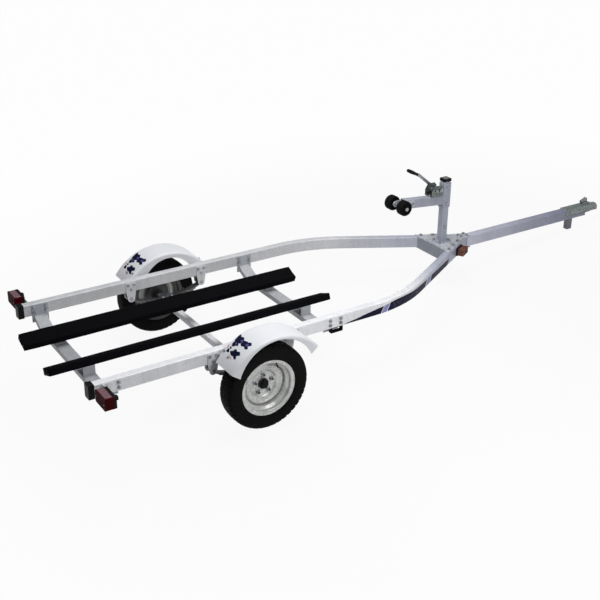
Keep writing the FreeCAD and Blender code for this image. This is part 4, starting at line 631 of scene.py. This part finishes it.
def make_rim(word, side):
    """The rolled rim and its ribbed disc, with soft bends, six bosses and a balance weight."""
    seat, well, flange, wide = 152.2, 134, 172, 50
    outer = [(flange, wide + 4), (flange - 2, wide + 0.5), (seat + 6, wide - 2), (seat, wide - 5),
             (seat, wide - 21), (well, wide - 33)]
    inner = [(flange - 3, wide + 5), (flange - 5, wide + 3), (seat + 4, wide + 0.6), (seat - 3, wide - 3),
             (seat - 3, wide - 20), (well - 3, wide - 32)]
    ribs = [(31.5, -13), (76, -13), (84, -4), (92, -0.5), (96, 2), (103, 2), (106.5, 4.5), (110, 7), (116, 7),
            (119, 4), (124, 1), (127, -2.6), (131.2, -4)]
    outline = outer + [(r, -w) for r, w in outer[::-1]] + [(r, -w) for r, w in inner] + inner[::-1]
    disc = ribs + [(radius, height - 4) for radius, height in reversed(ribs)]
    place = wheel_place(side)
    build = Build()
    build.add(*ring_turned(softened(outline, 3), 120), place)
    build.add(*ring_turned(softened(disc, 2.4), 120), place)
    for start in range(0, 360, 60):
        build.add(*turned([(5, -0.5), (5, 2.2), (3.6, 3.4)], 20),
                  place @ turn(start + 30, "Z") @ move(89, 0, -2.5))
    build.add(*block((150, 158), (-16, 16), (50.5, 55.2), 1.2), place @ turn(152, "Z"))
    item = build.make("rolled_rim_" + word, "rim_steel", 40, "wheel_" + word)
    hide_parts("rim_" + word)


def make_wheel_small(word, side):
    """Valve stem, the crimped ring and dimple of the dust cap, and the collars of the nuts."""
    body, wheel = "wheel_" + word, wheel_place(side)
    stem, cap, collars = Build(), Build(), Build()
    place = wheel @ turn(62, "Z") @ move(143, 0, 22) @ turn(-24, "Y")
    stem.add(*turned([(7.5, -4), (7.5, 1), (5.2, 4), (4.2, 12), (3.8, 26)], 20), place)
    stem.add(*turned([(ON_AXIS, 26), (4.4, 26.2), (4.6, 34), (3.6, 36)], 16), place)
    cap.add(*ring_turned([(25.05, 2), (28.6, 2), (28.6, 3.6), (26.2, 4.8), (25.05, 4.8)], 48), wheel)
    cap.add(*turned([(6, 15.8), (6, 17), (4.4, 18)], 24), wheel)
    for index in range(5):
        collars.add(*ring_turned([(6.1, -13), (14.2, -13), (14.2, -12.2), (11.8, -10.2), (6.1, -10.2)], 24),
                    wheel @ turn(90 + 72*index, "Z") @ move(57.15))
    stem.make("valve_" + word, "black_rubber", 35, body)
    cap.make("cap_ring_" + word, "black_plastic", 35, body)
    collars.make("nut_collars_" + word, "zinc_hardware", 35, body)


# Bunks

CARPET_STEPS = 300
END_PULL = {0: 3.2, 1: 0.9}   # how far the cloth is drawn in by the steps from an end
SEAM_STAPLES, SEAM_HALF = 36, 24


def bunk_outline(half_w, half_t, round_by):
    """The carpet's cross-section as (across, up) points: its round corners and points between them."""
    corners = []
    for across, up, start in ((1, -1, -90), (1, 1, 0), (-1, 1, 90), (-1, -1, 180)):
        arc = circle_points([start + 22.5*step for step in range(5)], round_by)
        corners.append([(across*(half_w - round_by) + a, up*(half_t - round_by) + u) for a, u in arc])
    outline = []
    for corner, following, steps in zip(corners, corners[1:] + corners[:1], (4, 12, 4, 12)):
        (a0, u0), (a1, u1) = corner[-1], following[0]
        outline += corner + [(a0 + (a1 - a0)*step/steps, u0 + (u1 - u0)*step/steps) for step in range(1, steps)]
    return outline


def make_bunk(word, side):
    """A board wrapped in carpet: lumpy cloth, folded ends, a stapled seam and bare wood underneath."""
    half_w, half_t, front = BUNK_WIDTH/2, BUNK_THICKNESS/2, BUNK_REAR + BUNK_LENGTH
    outline = bunk_outline(half_w, half_t, 9)
    loops = []
    for index in range(CARPET_STEPS + 1):
        x = BUNK_REAR + BUNK_LENGTH*index/CARPET_STEPS
        pull = END_PULL.get(min(index, CARPET_STEPS - index), 0)
        seam = 17 + 1.5*noise.noise(Vector((x*0.05, 3, side)))
        loop = []
        for across, up in outline:
            out = Vector((across, up)).normalized()
            spot = Vector((x*0.012, across*0.05 + side*7, up*0.05))
            lump = 0.9*noise.noise(spot) + 0.5*noise.noise(spot*5.3) + 0.35*noise.noise(Vector((x, across, up))*0.21)
            lump = min(lump, 0.6) - pull - 0.5
            groove = 2.6 if up < -half_t + 1 and abs(across) < seam else 0
            loop.append(bunk_place(side, across + lump*out.x, up + lump*out.y + groove, x))
        loops.append(loop)
    item = Build().add(*rings(loops)).make("carpet_bunk_" + word, "black_carpet", 50)
    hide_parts("bunk_" + word)
    flaps, staples, wood = Build(), Build(), Build()
    for end, ahead in ((BUNK_REAR, -1), (front, 1)):
        for sign, lift in ((1, 1.6), (-1, 0.7)):
            flap = [(sign*half_w*0.97, half_t*0.9), (sign*half_w*0.97, -half_t*0.9), (-sign*4, -half_t*0.9),
                    (sign*8, half_t*0.9)]
            flaps.add(*rings([[bunk_place(side, across*inset, up*inset, end + ahead*depth) for across, up in flap]
                              for depth, inset in ((-1.5, 1), (lift, 0.96))]))
        for across, up, angle in ((20, 8, 12), (-22, -6, -8), (4, -12, 80), (-34, 10, 30), (38, -8, -25)):
            staples.add(*block((-6, 6), (-0.7, 0.7), (0, 1.2), 0.3),
                        move(*bunk_place(side, across, up, end + ahead*1.9))
                        @ AXIS_TURNS["+x" if ahead > 0 else "-x"] @ turn(90 + angle, "Z"))
    dice = random.Random(11 + side)
    for index in range(SEAM_STAPLES):
        x = BUNK_REAR + 25 + (BUNK_LENGTH - 50)*index/(SEAM_STAPLES - 1)
        for across in (-SEAM_HALF, SEAM_HALF):
            spot = bunk_place(side, across + dice.uniform(-3, 3), -half_t + 0.4, x + dice.uniform(-4, 4))
            staples.add(*block((-6, 6), (-0.6, 0.6), (-1, 0.4), 0.3),
                        move(*spot) @ bunk_tip(side) @ turn(dice.uniform(-30, 30), "Z"))
    wood.add(*block((BUNK_REAR + 8, front - 8), (-16.5, 16.5), (-2.4, 2.4), 0.5),
             move(*bunk_place(side, 0, -half_t + 3.6, 0)) @ bunk_tip(side))
    flaps.make("carpet_folds_" + word, "black_carpet")
    staples.make("staples_" + word, "zinc_hardware", 35)
    wood.make("bunk_wood_" + word, None, material="bunk_timber")


# Bolts, nuts and welds

# sizes across the flats, over the height and of the washer's radius
LARGE, MIDDLE, SLEEVE, HANGER = (17, 8, 12), (16, 7, 11), (15, 6.5, 11), (16, 7, 10)
PLATE_BOLTS_X, PLATE_BOLTS_Z = (-38, 38), (426, 456)
HANGER_SPOTS = ((-20, 452), (20, 452), (0, 422))
UBOLT_X, UBOLT_OUT = 30.3, 27.8
FENDER_SPOTS = ((133, 610), (135.5, 668), (47, 612))
FENDER_ARMS_X = (-190, 258)
NECK_BOLTS_X, TONGUE_BOLTS_X = (1805, 1880, 1955), (2030, 2080)
POST_BOLT_Z, SLEEVE_BOLTS_Z, SLEEVE_SCREW_Z = 598, (768, 886), 750


def plate_bolts(build, side):
    """Bolts through the crossmembers' end plates, on the bunks' brackets and up into the bunks."""
    for cross in CROSS_X.values():
        for dx in PLATE_BOLTS_X:
            on_foot = cross == CROSS_X["rear"] and dx < 0
            for z in PLATE_BOLTS_Z:
                spin = (dx*7 + z) % 50
                add_bolt(build, (cross + dx, side*(RAIL_INNER - 5), z), INWARD[side], *LARGE, spin=spin)
                add_bolt(build, (cross + dx, side*(RAIL_OUTER + 4*on_foot), z), OUTWARD[side], *LARGE, 5, spin + 15)
        for dx in (-20, 20):
            add_bolt(build, (cross + dx, side*208, CROSS_TOP + 5), "+z", *MIDDLE, 6, dx)
            for across in (-26, 24):
                spot = bunk_place(side, across, -BUNK_THICKNESS/2 - 5, cross + dx*0.9)
                bolt_head(build, move(*spot) @ bunk_tip(side) @ turn(180, "X"), 13, 5, 9)


def hanger_bolts(build, side):
    """Bolts of the spring hangers, and the nuts of the U-bolts and centre bolts on the springs."""
    for x, outer, sizes in ((EYE_OFFSET, ((-23, 461), (24, 461)), (11, 5, 7)),
                            (-EYE_OFFSET, HANGER_SPOTS, HANGER)):
        for dx, z in HANGER_SPOTS:
            add_bolt(build, (x + dx, side*(RAIL_INNER - 5), z), INWARD[side], *HANGER, 4, x + dx)
        for dx, z in outer:
            add_bolt(build, (x + dx, side*(RAIL_OUTER + 5), z), OUTWARD[side], *sizes, spin=z)
    for x in (-UBOLT_X, UBOLT_X):
        for out in (-UBOLT_OUT, UBOLT_OUT):
            place = move(x, side*RAIL_Y + out, LEAF_TOP + 7)
            build.add(*ring_turned([(5.3, 0), (10, 0), (10, 1.8), (9.4, 2.2), (5.3, 2.2)], 24), place)
            build.add(*rings([circle(9.8, 2.2, 6), circle(9.8, 9.6, 6), circle(8.4, 10.6, 6)]), place @ turn(x, "Z"))
    add_bolt(build, (0, side*RAIL_Y, LEAF_TOP + 7), "+z", 14, 6, 0.5, spin=20)


def fender_bolts(build, side):
    """Low heads on the fenders, and the bolts of their arms."""
    for angle, y in FENDER_SPOTS:
        spot = fender_place(side, angle, y, FENDER_RADIUS - 0.3)
        bolt_head(build, move(*spot) @ turn(90 - angle, "Y"), 11, 3.4, 8.5)
    for x in FENDER_ARMS_X:
        add_bolt(build, (x, side*(RAIL_OUTER + 21), RAIL_Z - 2), OUTWARD[side], 13, 6, 10)


def neck_bolts(build, side):
    """Pairs through the neck's upper and lower plate, along the rails and then along the tongue."""
    rows = [(x, (MEET_X - x)*tan(BEND_ANGLE), (18, 8, 13), 5) for x in NECK_BOLTS_X]
    rows += [(x, 19, MIDDLE, 4) for x in TONGUE_BOLTS_X]
    for x, y, sizes, thread in rows:
        add_bolt(build, (x, side*y, PLATE_TOP), "+z", *sizes, spin=x % 60)
        add_bolt(build, (x, side*y, RAIL_BOTTOM - 6), "-z", *sizes, thread, x % 47)


def post_bolts(build, side):
    """Bolts of the winch post's foot, tube, sleeve and bow arm, and those on the centreline once."""
    out = OUTWARD[side]
    for dx in (-42, 42):
        add_bolt(build, (POST_X + dx, side*32, PLATE_TOP + 6), "+z", 16, 7, 9.5, 4, dx)
    add_bolt(build, (POST_X, side*25, POST_BOLT_Z), out, 14, 6, 10, 0 if side < 0 else 5, 33)
    for z in SLEEVE_BOLTS_Z:
        add_bolt(build, (POST_X, side*SLEEVE_HALF, z), out, *SLEEVE, spin=z % 60)
    for dx in (26, 62):
        x = ARM_REAR + dx
        add_bolt(build, (x, side*31, arm_top(x) - ARM_HEIGHT/2), out, *SLEEVE, spin=dx)
    if side == LEFT:
        add_bolt(build, (POST_X - SLEEVE_HALF, 0, SLEEVE_SCREW_Z), "-x", 15, 14, 9)
        for x in (WINCH_REAR + 9, WINCH_FRONT - 12):
            add_bolt(build, (x, -2, ARM_SEAT + 3), "+z", 13, 5, 9)


def coupler_bolts(build, side):
    for x in (COUPLER_REAR + 44, COUPLER_REAR + 150):
        add_bolt(build, (x, side*36, 455), OUTWARD[side], *LARGE, 0 if side < 0 else 6, x % 60)


def make_bolts():
    """Every bolt head and nut of the frame, in joined sets by place."""
    for add_set in (plate_bolts, hanger_bolts, neck_bolts, post_bolts, coupler_bolts, fender_bolts):
        build = Build()
        for side in SIDES.values():
            add_set(build, side)
        build.make(add_set.__name__, "zinc_hardware", 32)


def make_welds():
    """Beads where tubes and plates are joined."""
    beads = Build()

    def loop_round(centre, first, second, radius, seed):
        """A bead round a rectangle that is given by its centre and two half sides."""
        corners = [[c + a*f + b*s for c, f, s in zip(centre, first, second)]
                   for a, b in ((-1, 1), (1, 1), (1, -1), (-1, -1), (-1, 1))]
        weld(beads, corners, radius, 5, seed)

    arm_end = POST_X - SLEEVE_HALF
    loop_round((NECK_X + 51, 0, RAIL_Z), (0, 30, 0), (0, 0, 36), 2.6, 3)
    loop_round((arm_end - 1, 0, arm_top(arm_end) - ARM_HEIGHT/2), (0, 25, 0), (0, 0, 32), 2.6, 4)
    loop_round((POST_X, 0, PLATE_TOP + 6), (26, 0, 0), (0, -26, 0), 3, 40)
    loop_round((FOOT_X, 0, RAIL_BOTTOM), (25, 0, 0), (0, -20, 0), 2.8, 41)
    wall = RAIL_WIDTH/2/cos(BEND_ANGLE)   # from a bent rail's centre to its face, across the trailer
    rear = (NECK_X - 1, (MEET_X - NECK_X)*tan(BEND_ANGLE) - wall)
    front = (MEET_X - (32 - wall)/tan(BEND_ANGLE), 33)
    for side in SIDES.values():
        for cross in CROSS_X.values():
            y, low = side*(RAIL_INNER - 6.5), 365.5
            weld(beads, [(cross - 38, y, low), (cross - 38, y, low + 32), (cross + 38, y, low + 32),
                         (cross + 38, y, low)], 3, 5.5, 10 + side)
        weld(beads, [(x, side*(HALF_TRACK - 91), WHEEL_RADIUS + z) for x, z in circle_points(range(0, 361, 15), 26)],
             2.2, 4.5, 20 + side)
        for (x, y), short, seed in ((rear, 2, 30), (front, 4, 33)):
            weld(beads, [(x, side*y, RAIL_BOTTOM + short), (x, side*y, RAIL_TOP - short)], 3, 5, seed)
    beads.make("weld_beads", "galvanised", 60, material="weld_zinc")


def make_spring_clips():
    """Rebound clips round the leaves, four bars in each."""
    clips = Build()
    for side in SIDES.values():
        for end in (1, -1):
            place = move(end*40, side*RAIL_Y, LEAF_TOP + 500) @ turn(-end*11.2, "Y")
            for low, high in ((-522, -518.2), (-499.6, -496.4)):
                clips.add(*block((-8, 8), (-26.5, 26.5), (low, high), 0.8), place)
            for sign in (1, -1):
                clips.add(*block((-8, 8), (sign*23, sign*26.5), (-522, -490), 0.8), place)
    clips.make("spring_clips", "spring_steel")


# Lamps

def add_border(build, x, low, high, start, end, inset, edge):
    """Four bars round a tail lamp's face, from one distance inside its outline to another."""
    bottom, top = LAMP_BOTTOM, LAMP_TOP
    for z0, z1 in ((bottom + start, bottom + end), (top - end, top - start)):
        build.add(*block(x, (low + inset, high - inset), (z0, z1), edge))
    for y0, y1 in ((low + start, low + end), (high - end, high - start)):
        build.add(*block(x, (y0, y1), (bottom + inset, top - inset), edge))


def make_lamps():
    """Ribbed lenses, bezels, screws and clear tops of the tail lamps, and the side markers' lens ribs."""
    red, clear, black, screws, amber = Build(), Build(), Build(), Build(), Build()
    arc = [pi*k/4 + pi/2 for k in range(5)]
    rib = [(0.9*cos(angle), 2.2*sin(angle)) for angle in arc]
    face, collar, back = LAMP_REAR, LAMP_REAR + 48, LAMP_REAR + 69
    bottom, top = LAMP_BOTTOM, LAMP_TOP
    for side in SIDES.values():
        low, high = sorted((side*LAMP_INNER, side*LAMP_OUTER))
        middle = (low + high)/2
        for index in range(26):
            y = low + 9 + (high - low - 18)*index/25
            if abs(y - middle) >= 3:
                red.add(*rings([[(face + dx, y + dy, z) for dx, dy in rib] for z in (bottom + 9, top - 9)]))
        add_border(red, (face - 1.2, face + 2), low, high, 2.2, 6, 6, 0.6)
        red.add(*block((face - 1, face + 2), (middle - 1.6, middle + 1.6), (bottom + 6, top - 6), 0.5))
        for index in range(9):
            x = face + 9 + 4.2*index
            red.add(*block((x, x + 2.4), (side*(LAMP_OUTER - 0.5), side*(LAMP_OUTER + 0.8)),
                           (bottom + 11, top - 11), 0.4))
        clear.add(*block((face + 5, face + 45), (low + 10, high - 10), (top - 1.5, top + 1.6)))
        for y in (low + 12, high - 12):
            screws.add(*turned([(3.4, 0), (3.2, 1.3), (1.8, 2.1)], 16),
                       move(face - 0.6, y, (bottom + top)/2) @ AXIS_TURNS["-x"])
        add_border(black, (collar, collar + 7), low, high, -1.8, 1, 7, 0.8)
        black.add(*block((back, back + 17), (side*(LAMP_OUTER - 54), side*(LAMP_OUTER - 26)), (452, 474), 2))
        for y in (LAMP_INNER + 22, LAMP_OUTER - 78):
            add_bolt(screws, (back, side*y, 449), "+x", 11, 5, 8, 4)
        marker = (move(MEET_X - MARKER_BACK*cos(BEND_ANGLE), side*MARKER_BACK*sin(BEND_ANGLE), RAIL_Z)
                  @ Matrix.Rotation(-side*BEND_ANGLE, 4, "Z"))
        for index in range(15):
            x = -38 + 76*index/14
            amber.add(*block((x - 1.5, x + 1.5), (side*78.4, side*79.8), (-17, 17), 0.4), marker)
        for x in (-43.5, 43.5):
            amber.add(*block((x - 1.4, x + 1.4), (side*77, side*79.8), (-21, 21), 0.4), marker)
            screws.add(*turned([(3, 0), (2.8, 1.2), (ON_AXIS, 1.9)], 16),
                       marker @ move(x*0.93, side*79.5, 0) @ AXIS_TURNS[OUTWARD[side]])
    red.make("lamp_ribs", "red_lens", 40)
    clear.make("lamp_tops", None, material="clear_window")
    black.make("lamp_trim", "black_plastic")
    screws.make("lamp_screws", "zinc_hardware")
    amber.make("marker_ribs", "amber_lens")


# Painted stripes and motifs

STRIPE_LOW = RAIL_BOTTOM + 5
STRIPE_IN, STRIPE_OUT = 24.6, 25.5   # from the rail's centre
STRIPE_LEAN = 12   # how far an end's top is ahead of its middle
# bands on a rail: places along it from the bend's start, with the band's upper edge there
STRIPE = [
    [(-215, 413), (-150, 421), (-95, 431), (-36, 440), (20, 448), (58, 451)],
    [(112, 459), (170, 464), (256, 462), (334, 457), (444, 455), (553, 452)],
    [(640, 452), (720, 450), (775, 448), (905, 446), (960, 444)],
]
PALE_STRIPE = [[(64, 452), (106, 458)], [(572, 452), (622, 452)]]


def face_strip(build, side, spans):
    """A thin band low on the outer face of a rail, up to its upper edge, its ends cut on the slant."""
    rows = []
    for (a0, h0), (a1, h1) in zip(spans, spans[1:]):
        steps = max(1, round((a1 - a0)/18))
        rows += [(a0 + (a1 - a0)*step/steps, h0 + (h1 - h0)*step/steps) for step in range(steps)]
    rows.append(spans[-1])
    corners = ((-1, STRIPE_IN), (-1, STRIPE_OUT), (1, STRIPE_OUT), (1, STRIPE_IN))
    build.add(*rings([[rail_place(side, along + lean*STRIPE_LEAN, out, high if lean > 0 else STRIPE_LOW)
                       for lean, out in corners] for along, high in rows]))


# The left fender's print: the angle it grows about, its outer edge, and how much longer and wider it is
FAR_ANGLE, FAR_EDGE, FAR_LONG, FAR_WIDE = 114, 764, 1.1, 1.08
PRINT_EDGE = 600
MM_A_DEGREE = 6.14   # round the fender's top
# pieces of the fender's motif as (angle, place across) outlines
MOTIF = [
    [(117.4, 606), (113.7, 600), (111.4, 604), (113.3, 622), (112.1, 644), (114.7, 665), (113.3, 690), (113.7, 700),
     (111.8, 720), (114, 742), (116.7, 726), (118.9, 744), (120.7, 727), (119.1, 707), (120.5, 683), (118.5, 667),
     (119.9, 653), (121.9, 668), (123.6, 648), (125.5, 639), (125.2, 624), (123, 616), (120.6, 618), (118.6, 606)],
    [(130, 647), (127.4, 671), (126.6, 664), (125, 679), (126.4, 695), (125, 716), (127.5, 737), (129.9, 716),
     (132.5, 730), (133.6, 717), (132, 699), (132.3, 672)],
    [(131.7, 619), (128.7, 621), (128.8, 633), (131.6, 647), (132.6, 628)],
    [(126.9, 622), (125.9, 630), (127.5, 643), (128.7, 633)],
]
MOTIF_PALE = [
    [(116, 642), (114.8, 658), (116.7, 673), (118.1, 663)],
    [(116.1, 696), (114.5, 713), (116.3, 729), (117.8, 715)],
    [(121, 630), (120, 640), (121.4, 652), (122.8, 640)],
]
MOTIF_RED = [
    [(128.1, 602), (125, 600), (127.4, 616), (130.1, 611)],
    [(132.9, 654), (133.5, 687), (135.4, 704), (135.3, 679)],
]


def fender_patch(build, side, outline, radius):
    """A thin patch over the fender's round top, filled from an outline of (angle, across) points.

    Both fenders carry the same print, so it isn't mirrored; the left one is a little larger.
    """
    work = bmesh.new()
    work.faces.new([work.verts.new((angle*MM_A_DEGREE, across, 0)) for angle, across in outline])
    bmesh.ops.triangulate(work, faces=work.faces)
    bmesh.ops.subdivide_edges(work, edges=work.edges, cuts=2, use_grid_fill=True)
    bmesh.ops.triangulate(work, faces=work.faces)
    outward = bmesh.ops.extrude_face_region(work, geom=work.faces[:])
    for vertex in (item for item in outward["geom"] if isinstance(item, bmesh.types.BMVert)):
        vertex.co.z = 1
    work.verts.ensure_lookup_table()
    work.verts.index_update()
    points = []
    for vertex in work.verts:
        angle, across = vertex.co.x/MM_A_DEGREE, vertex.co.y
        if side == LEFT:
            angle = FAR_ANGLE + (angle - FAR_ANGLE)*FAR_LONG
            across = FAR_EDGE - (across - PRINT_EDGE)*FAR_WIDE
        points.append(fender_place(side, angle, across, radius - 0.3 + 0.7*vertex.co.z))
    faces = [[v.index for v in face.verts] for face in work.faces]
    work.free()
    build.add(points, faces)


def make_paint():
    """Bands on the bent rails and the motif on the back of each fender, a piece for each colour."""
    for name, material, stripes, outlines, lift in (
            ("navy_bands", "navy_decal", STRIPE, MOTIF, 0), ("pale_bands", "lilac_decal", PALE_STRIPE, [], 0),
            ("violet_flecks", "violet_decal", [], MOTIF_PALE, 0.3), ("rose_flecks", "rose_decal", [], MOTIF_RED, 0)):
        build = Build()
        for side in SIDES.values():
            for spans in stripes:
                face_strip(build, side, spans)
            for outline in outlines:
                fender_patch(build, side, outline, FENDER_RADIUS + lift)
        build.make(name, None, 40, material=material)


# Winch, post and coupler trims

def make_winch_trims():
    """Hub nuts of drum and crank, and the rivets in the drum's flange."""
    fixed, on_drum, on_crank = Build(), Build(), Build()
    left = AXIS_TURNS["+y"]
    for side in SIDES.values():
        add_bolt(fixed, (DRUM_X, side*42, WINCH_Z), OUTWARD[side], 17, 6, 11, 4)
    bolt_head(on_crank, move(CRANK_X, 57.5, WINCH_Z) @ left, 16, 7, 10, 3)
    on_crank.add(*turned([(11, 0), (11, 5), (9.5, 7)], 24), move(CRANK_X, 41, WINCH_Z) @ left)
    for x, z in circle_points(range(20, 380, 72), 21):
        on_drum.add(*turned([(3.6, 0), (3.6, 1.2), (2.6, 1.8)], 16), move(DRUM_X + x, 30, WINCH_Z + z) @ left)
    fixed.make("winch_nuts", "zinc_hardware")
    on_drum.make("drum_rivets", "zinc_hardware", body="drum")
    on_crank.make("crank_nut", "zinc_hardware", body="crank")


def make_post_pad():
    """The pale pad let in to the post's cap, and the ribs round its edge."""
    pad, ribs = Build(), Build()
    pad.add(*block((POST_X - 21, POST_X + 21), (-21, 21), (943.2, 944.6)))
    for index in range(-3, 4):
        width = (index*7 - 1.2, index*7 + 1.2)
        for face in (-1, 1):
            depth = (face*27.5, face*28.8)
            ribs.add(*block(depth, width, (927, 941), 0.4), move(POST_X))
            ribs.add(*block(width, depth, (927, 941), 0.4), move(POST_X))
    pad.make("cap_pad", None, material="cap_grey")
    ribs.make("cap_ribs", "black_plastic")


def make_coupler_trims():
    """The coupler's rolled edges, latch pins, spring housing and the ridge along its top."""
    zinc, dark = Build(), Build()
    front, top = TONGUE_FRONT, COUPLER_TOP
    for side in SIDES.values():
        out = AXIS_TURNS[OUTWARD[side]]
        zinc.add(*block((COUPLER_REAR + 4, front + 38), (side*34.5, side*39.5), (429.5, 434.5), 1.6))
        zinc.add(*turned([(9, 0), (9, 2), (7.5, 3.2)], 24), move(front + 84, side*33.5, 450) @ out)
        zinc.add(*turned([(6, 0), (5.4, 2.4), (3, 3.4)], 20), move(front + 16, side*10, top + 31) @ out)
        zinc.add(*block((front - 22, front + 42), (side*11.5, side*15), (top, top + 22), 1.5))
    zinc.add(*block((COUPLER_REAR + 12, front - 40), (-9, 9), (top, top + 4.5), 2))
    zinc.add(*block((COUPLER_REAR + 1, COUPLER_REAR + 9), (-34, 34), (top, top + 3), 1.2))
    dark.add(*block((front - 36, front - 14), (-8, 8), (top + 24, top + 31), 2.5))
    zinc.make("coupler_trims", "coupler_steel")
    dark.make("latch_grip", "black_plastic")


def make_details():
    for word, side in SIDES.items():
        for make_part in (make_tyre, make_rim, make_wheel_small, make_bunk):
            make_part(word, side)
    for make_set in (make_bolts, make_welds, make_spring_clips, make_lamps, make_paint, make_winch_trims,
                     make_post_pad, make_coupler_trims):
        make_set()


# Stage, light and camera

CAMERA_PLACE = Vector((-2557.90, -5011.84, 3190.79))
CAMERA_YAW, CAMERA_PITCH, CAMERA_ROLL = 0.9934661, 0.4212530, 0.0096549
FOCAL_PIXELS, IMAGE_PIXELS, SENSOR = 1023.73, 600, 36
AXIS_PIXEL = (301.89, 272.78)


def seen_white(shader):
    """The share of plain white in what camera, glossy and clear rays see, less near the object than far off."""
    rays = shader.add("LightPath").outputs
    seen = shader.maths("MAXIMUM", rays["Is Camera Ray"], rays["Is Glossy Ray"])
    seen = shader.maths("MAXIMUM", seen, rays["Is Transmission Ray"])
    distance = shader.add("VectorMath", shader.place(), operation="LENGTH").outputs["Value"]
    return shader.maths("MULTIPLY", seen, shader.level(distance, 0.92, 0.985, 1.6, 3.6))


def make_floor():
    """A grey floor that is seen as white, so that it takes shadows but tints nothing."""
    mesh = bpy.data.meshes.new("floor")
    mesh.from_pydata([(-60, -60, 0), (60, -60, 0), (60, 60, 0), (-60, 60, 0)], [], [(0, 1, 2, 3)])
    floor = linked("floor", mesh)
    floor.location.z = -0.0006
    shader = Shader("floor", Base_Color=(0.58, 0.58, 0.58, 1), Roughness=0.9, Specular_IOR_Level=0)
    white = shader.add("Emission")
    mix = shader.add("MixShader", seen_white(shader), shader.surface.outputs[0], white.outputs[0])
    shader.fill(shader.tree.nodes["Material Output"], Surface=mix.outputs[0])
    mesh.materials.append(shader.material)


def make_world():
    """A soft sky that lights the object and is seen as plain white."""
    world = bpy.data.worlds.new("studio")
    bpy.context.scene.world = world
    world.use_nodes = True
    sky = Nodes(world.node_tree)
    height = sky.add("SeparateXYZ", sky.add("TexCoord").outputs["Generated"]).outputs[2]
    colour = sky.ramp(height, (0, (0.62, 0.64, 0.74)), (0.8, (0.90, 0.91, 1)))
    soft = sky.fill(sky.tree.nodes["Background"], Color=colour, Strength=0.21)
    white = sky.add("Background", (1, 1, 1, 1), 1)
    seen = sky.add("LightPath").outputs["Is Camera Ray"]
    mix = sky.add("MixShader", seen, soft.outputs[0], white.outputs[0])
    sky.fill(sky.tree.nodes["World Output"], Surface=mix.outputs[0])


def make_lamp(name, place, target, size, watts):
    data = bpy.data.lights.new(name, "AREA")
    data.size = size
    data.energy = watts
    lamp = linked(name, data)
    lamp.location = place
    lamp.rotation_euler = (Vector(target) - Vector(place)).to_track_quat("-Z", "Y").to_euler()


def make_camera():
    """The photograph's camera, found in the level trailer's frame and parked with it."""
    aim = (Matrix.Rotation(CAMERA_YAW - pi/2, 4, "Z") @ Matrix.Rotation(pi/2 - CAMERA_PITCH, 4, "X")
           @ Matrix.Rotation(CAMERA_ROLL, 4, "Z"))
    tipped = PARK.to_3x3().normalized().to_4x4()
    data = bpy.data.cameras.new("camera")
    data.sensor_width = SENSOR
    data.lens = FOCAL_PIXELS*SENSOR/IMAGE_PIXELS
    data.shift_x = (IMAGE_PIXELS/2 - AXIS_PIXEL[0])/IMAGE_PIXELS
    data.shift_y = (AXIS_PIXEL[1] - IMAGE_PIXELS/2)/IMAGE_PIXELS
    data.clip_end = 100
    camera = linked("camera", data)
    camera.matrix_world = Matrix.Translation(PARK @ CAMERA_PLACE) @ tipped @ aim
    bpy.context.scene.camera = camera


dress_nodes()
make_details()
make_floor()
make_world()
make_lamp("key", (-0.3, -2.5, 1.8), (-0.4, -0.2, 0.35), 1, 27)
make_lamp("top", (-0.3, 0.1, 3.6), (-0.2, 0, 0.3), 2.5, 94)
make_camera()
bpy.context.scene.view_settings.view_transform = "Standard"
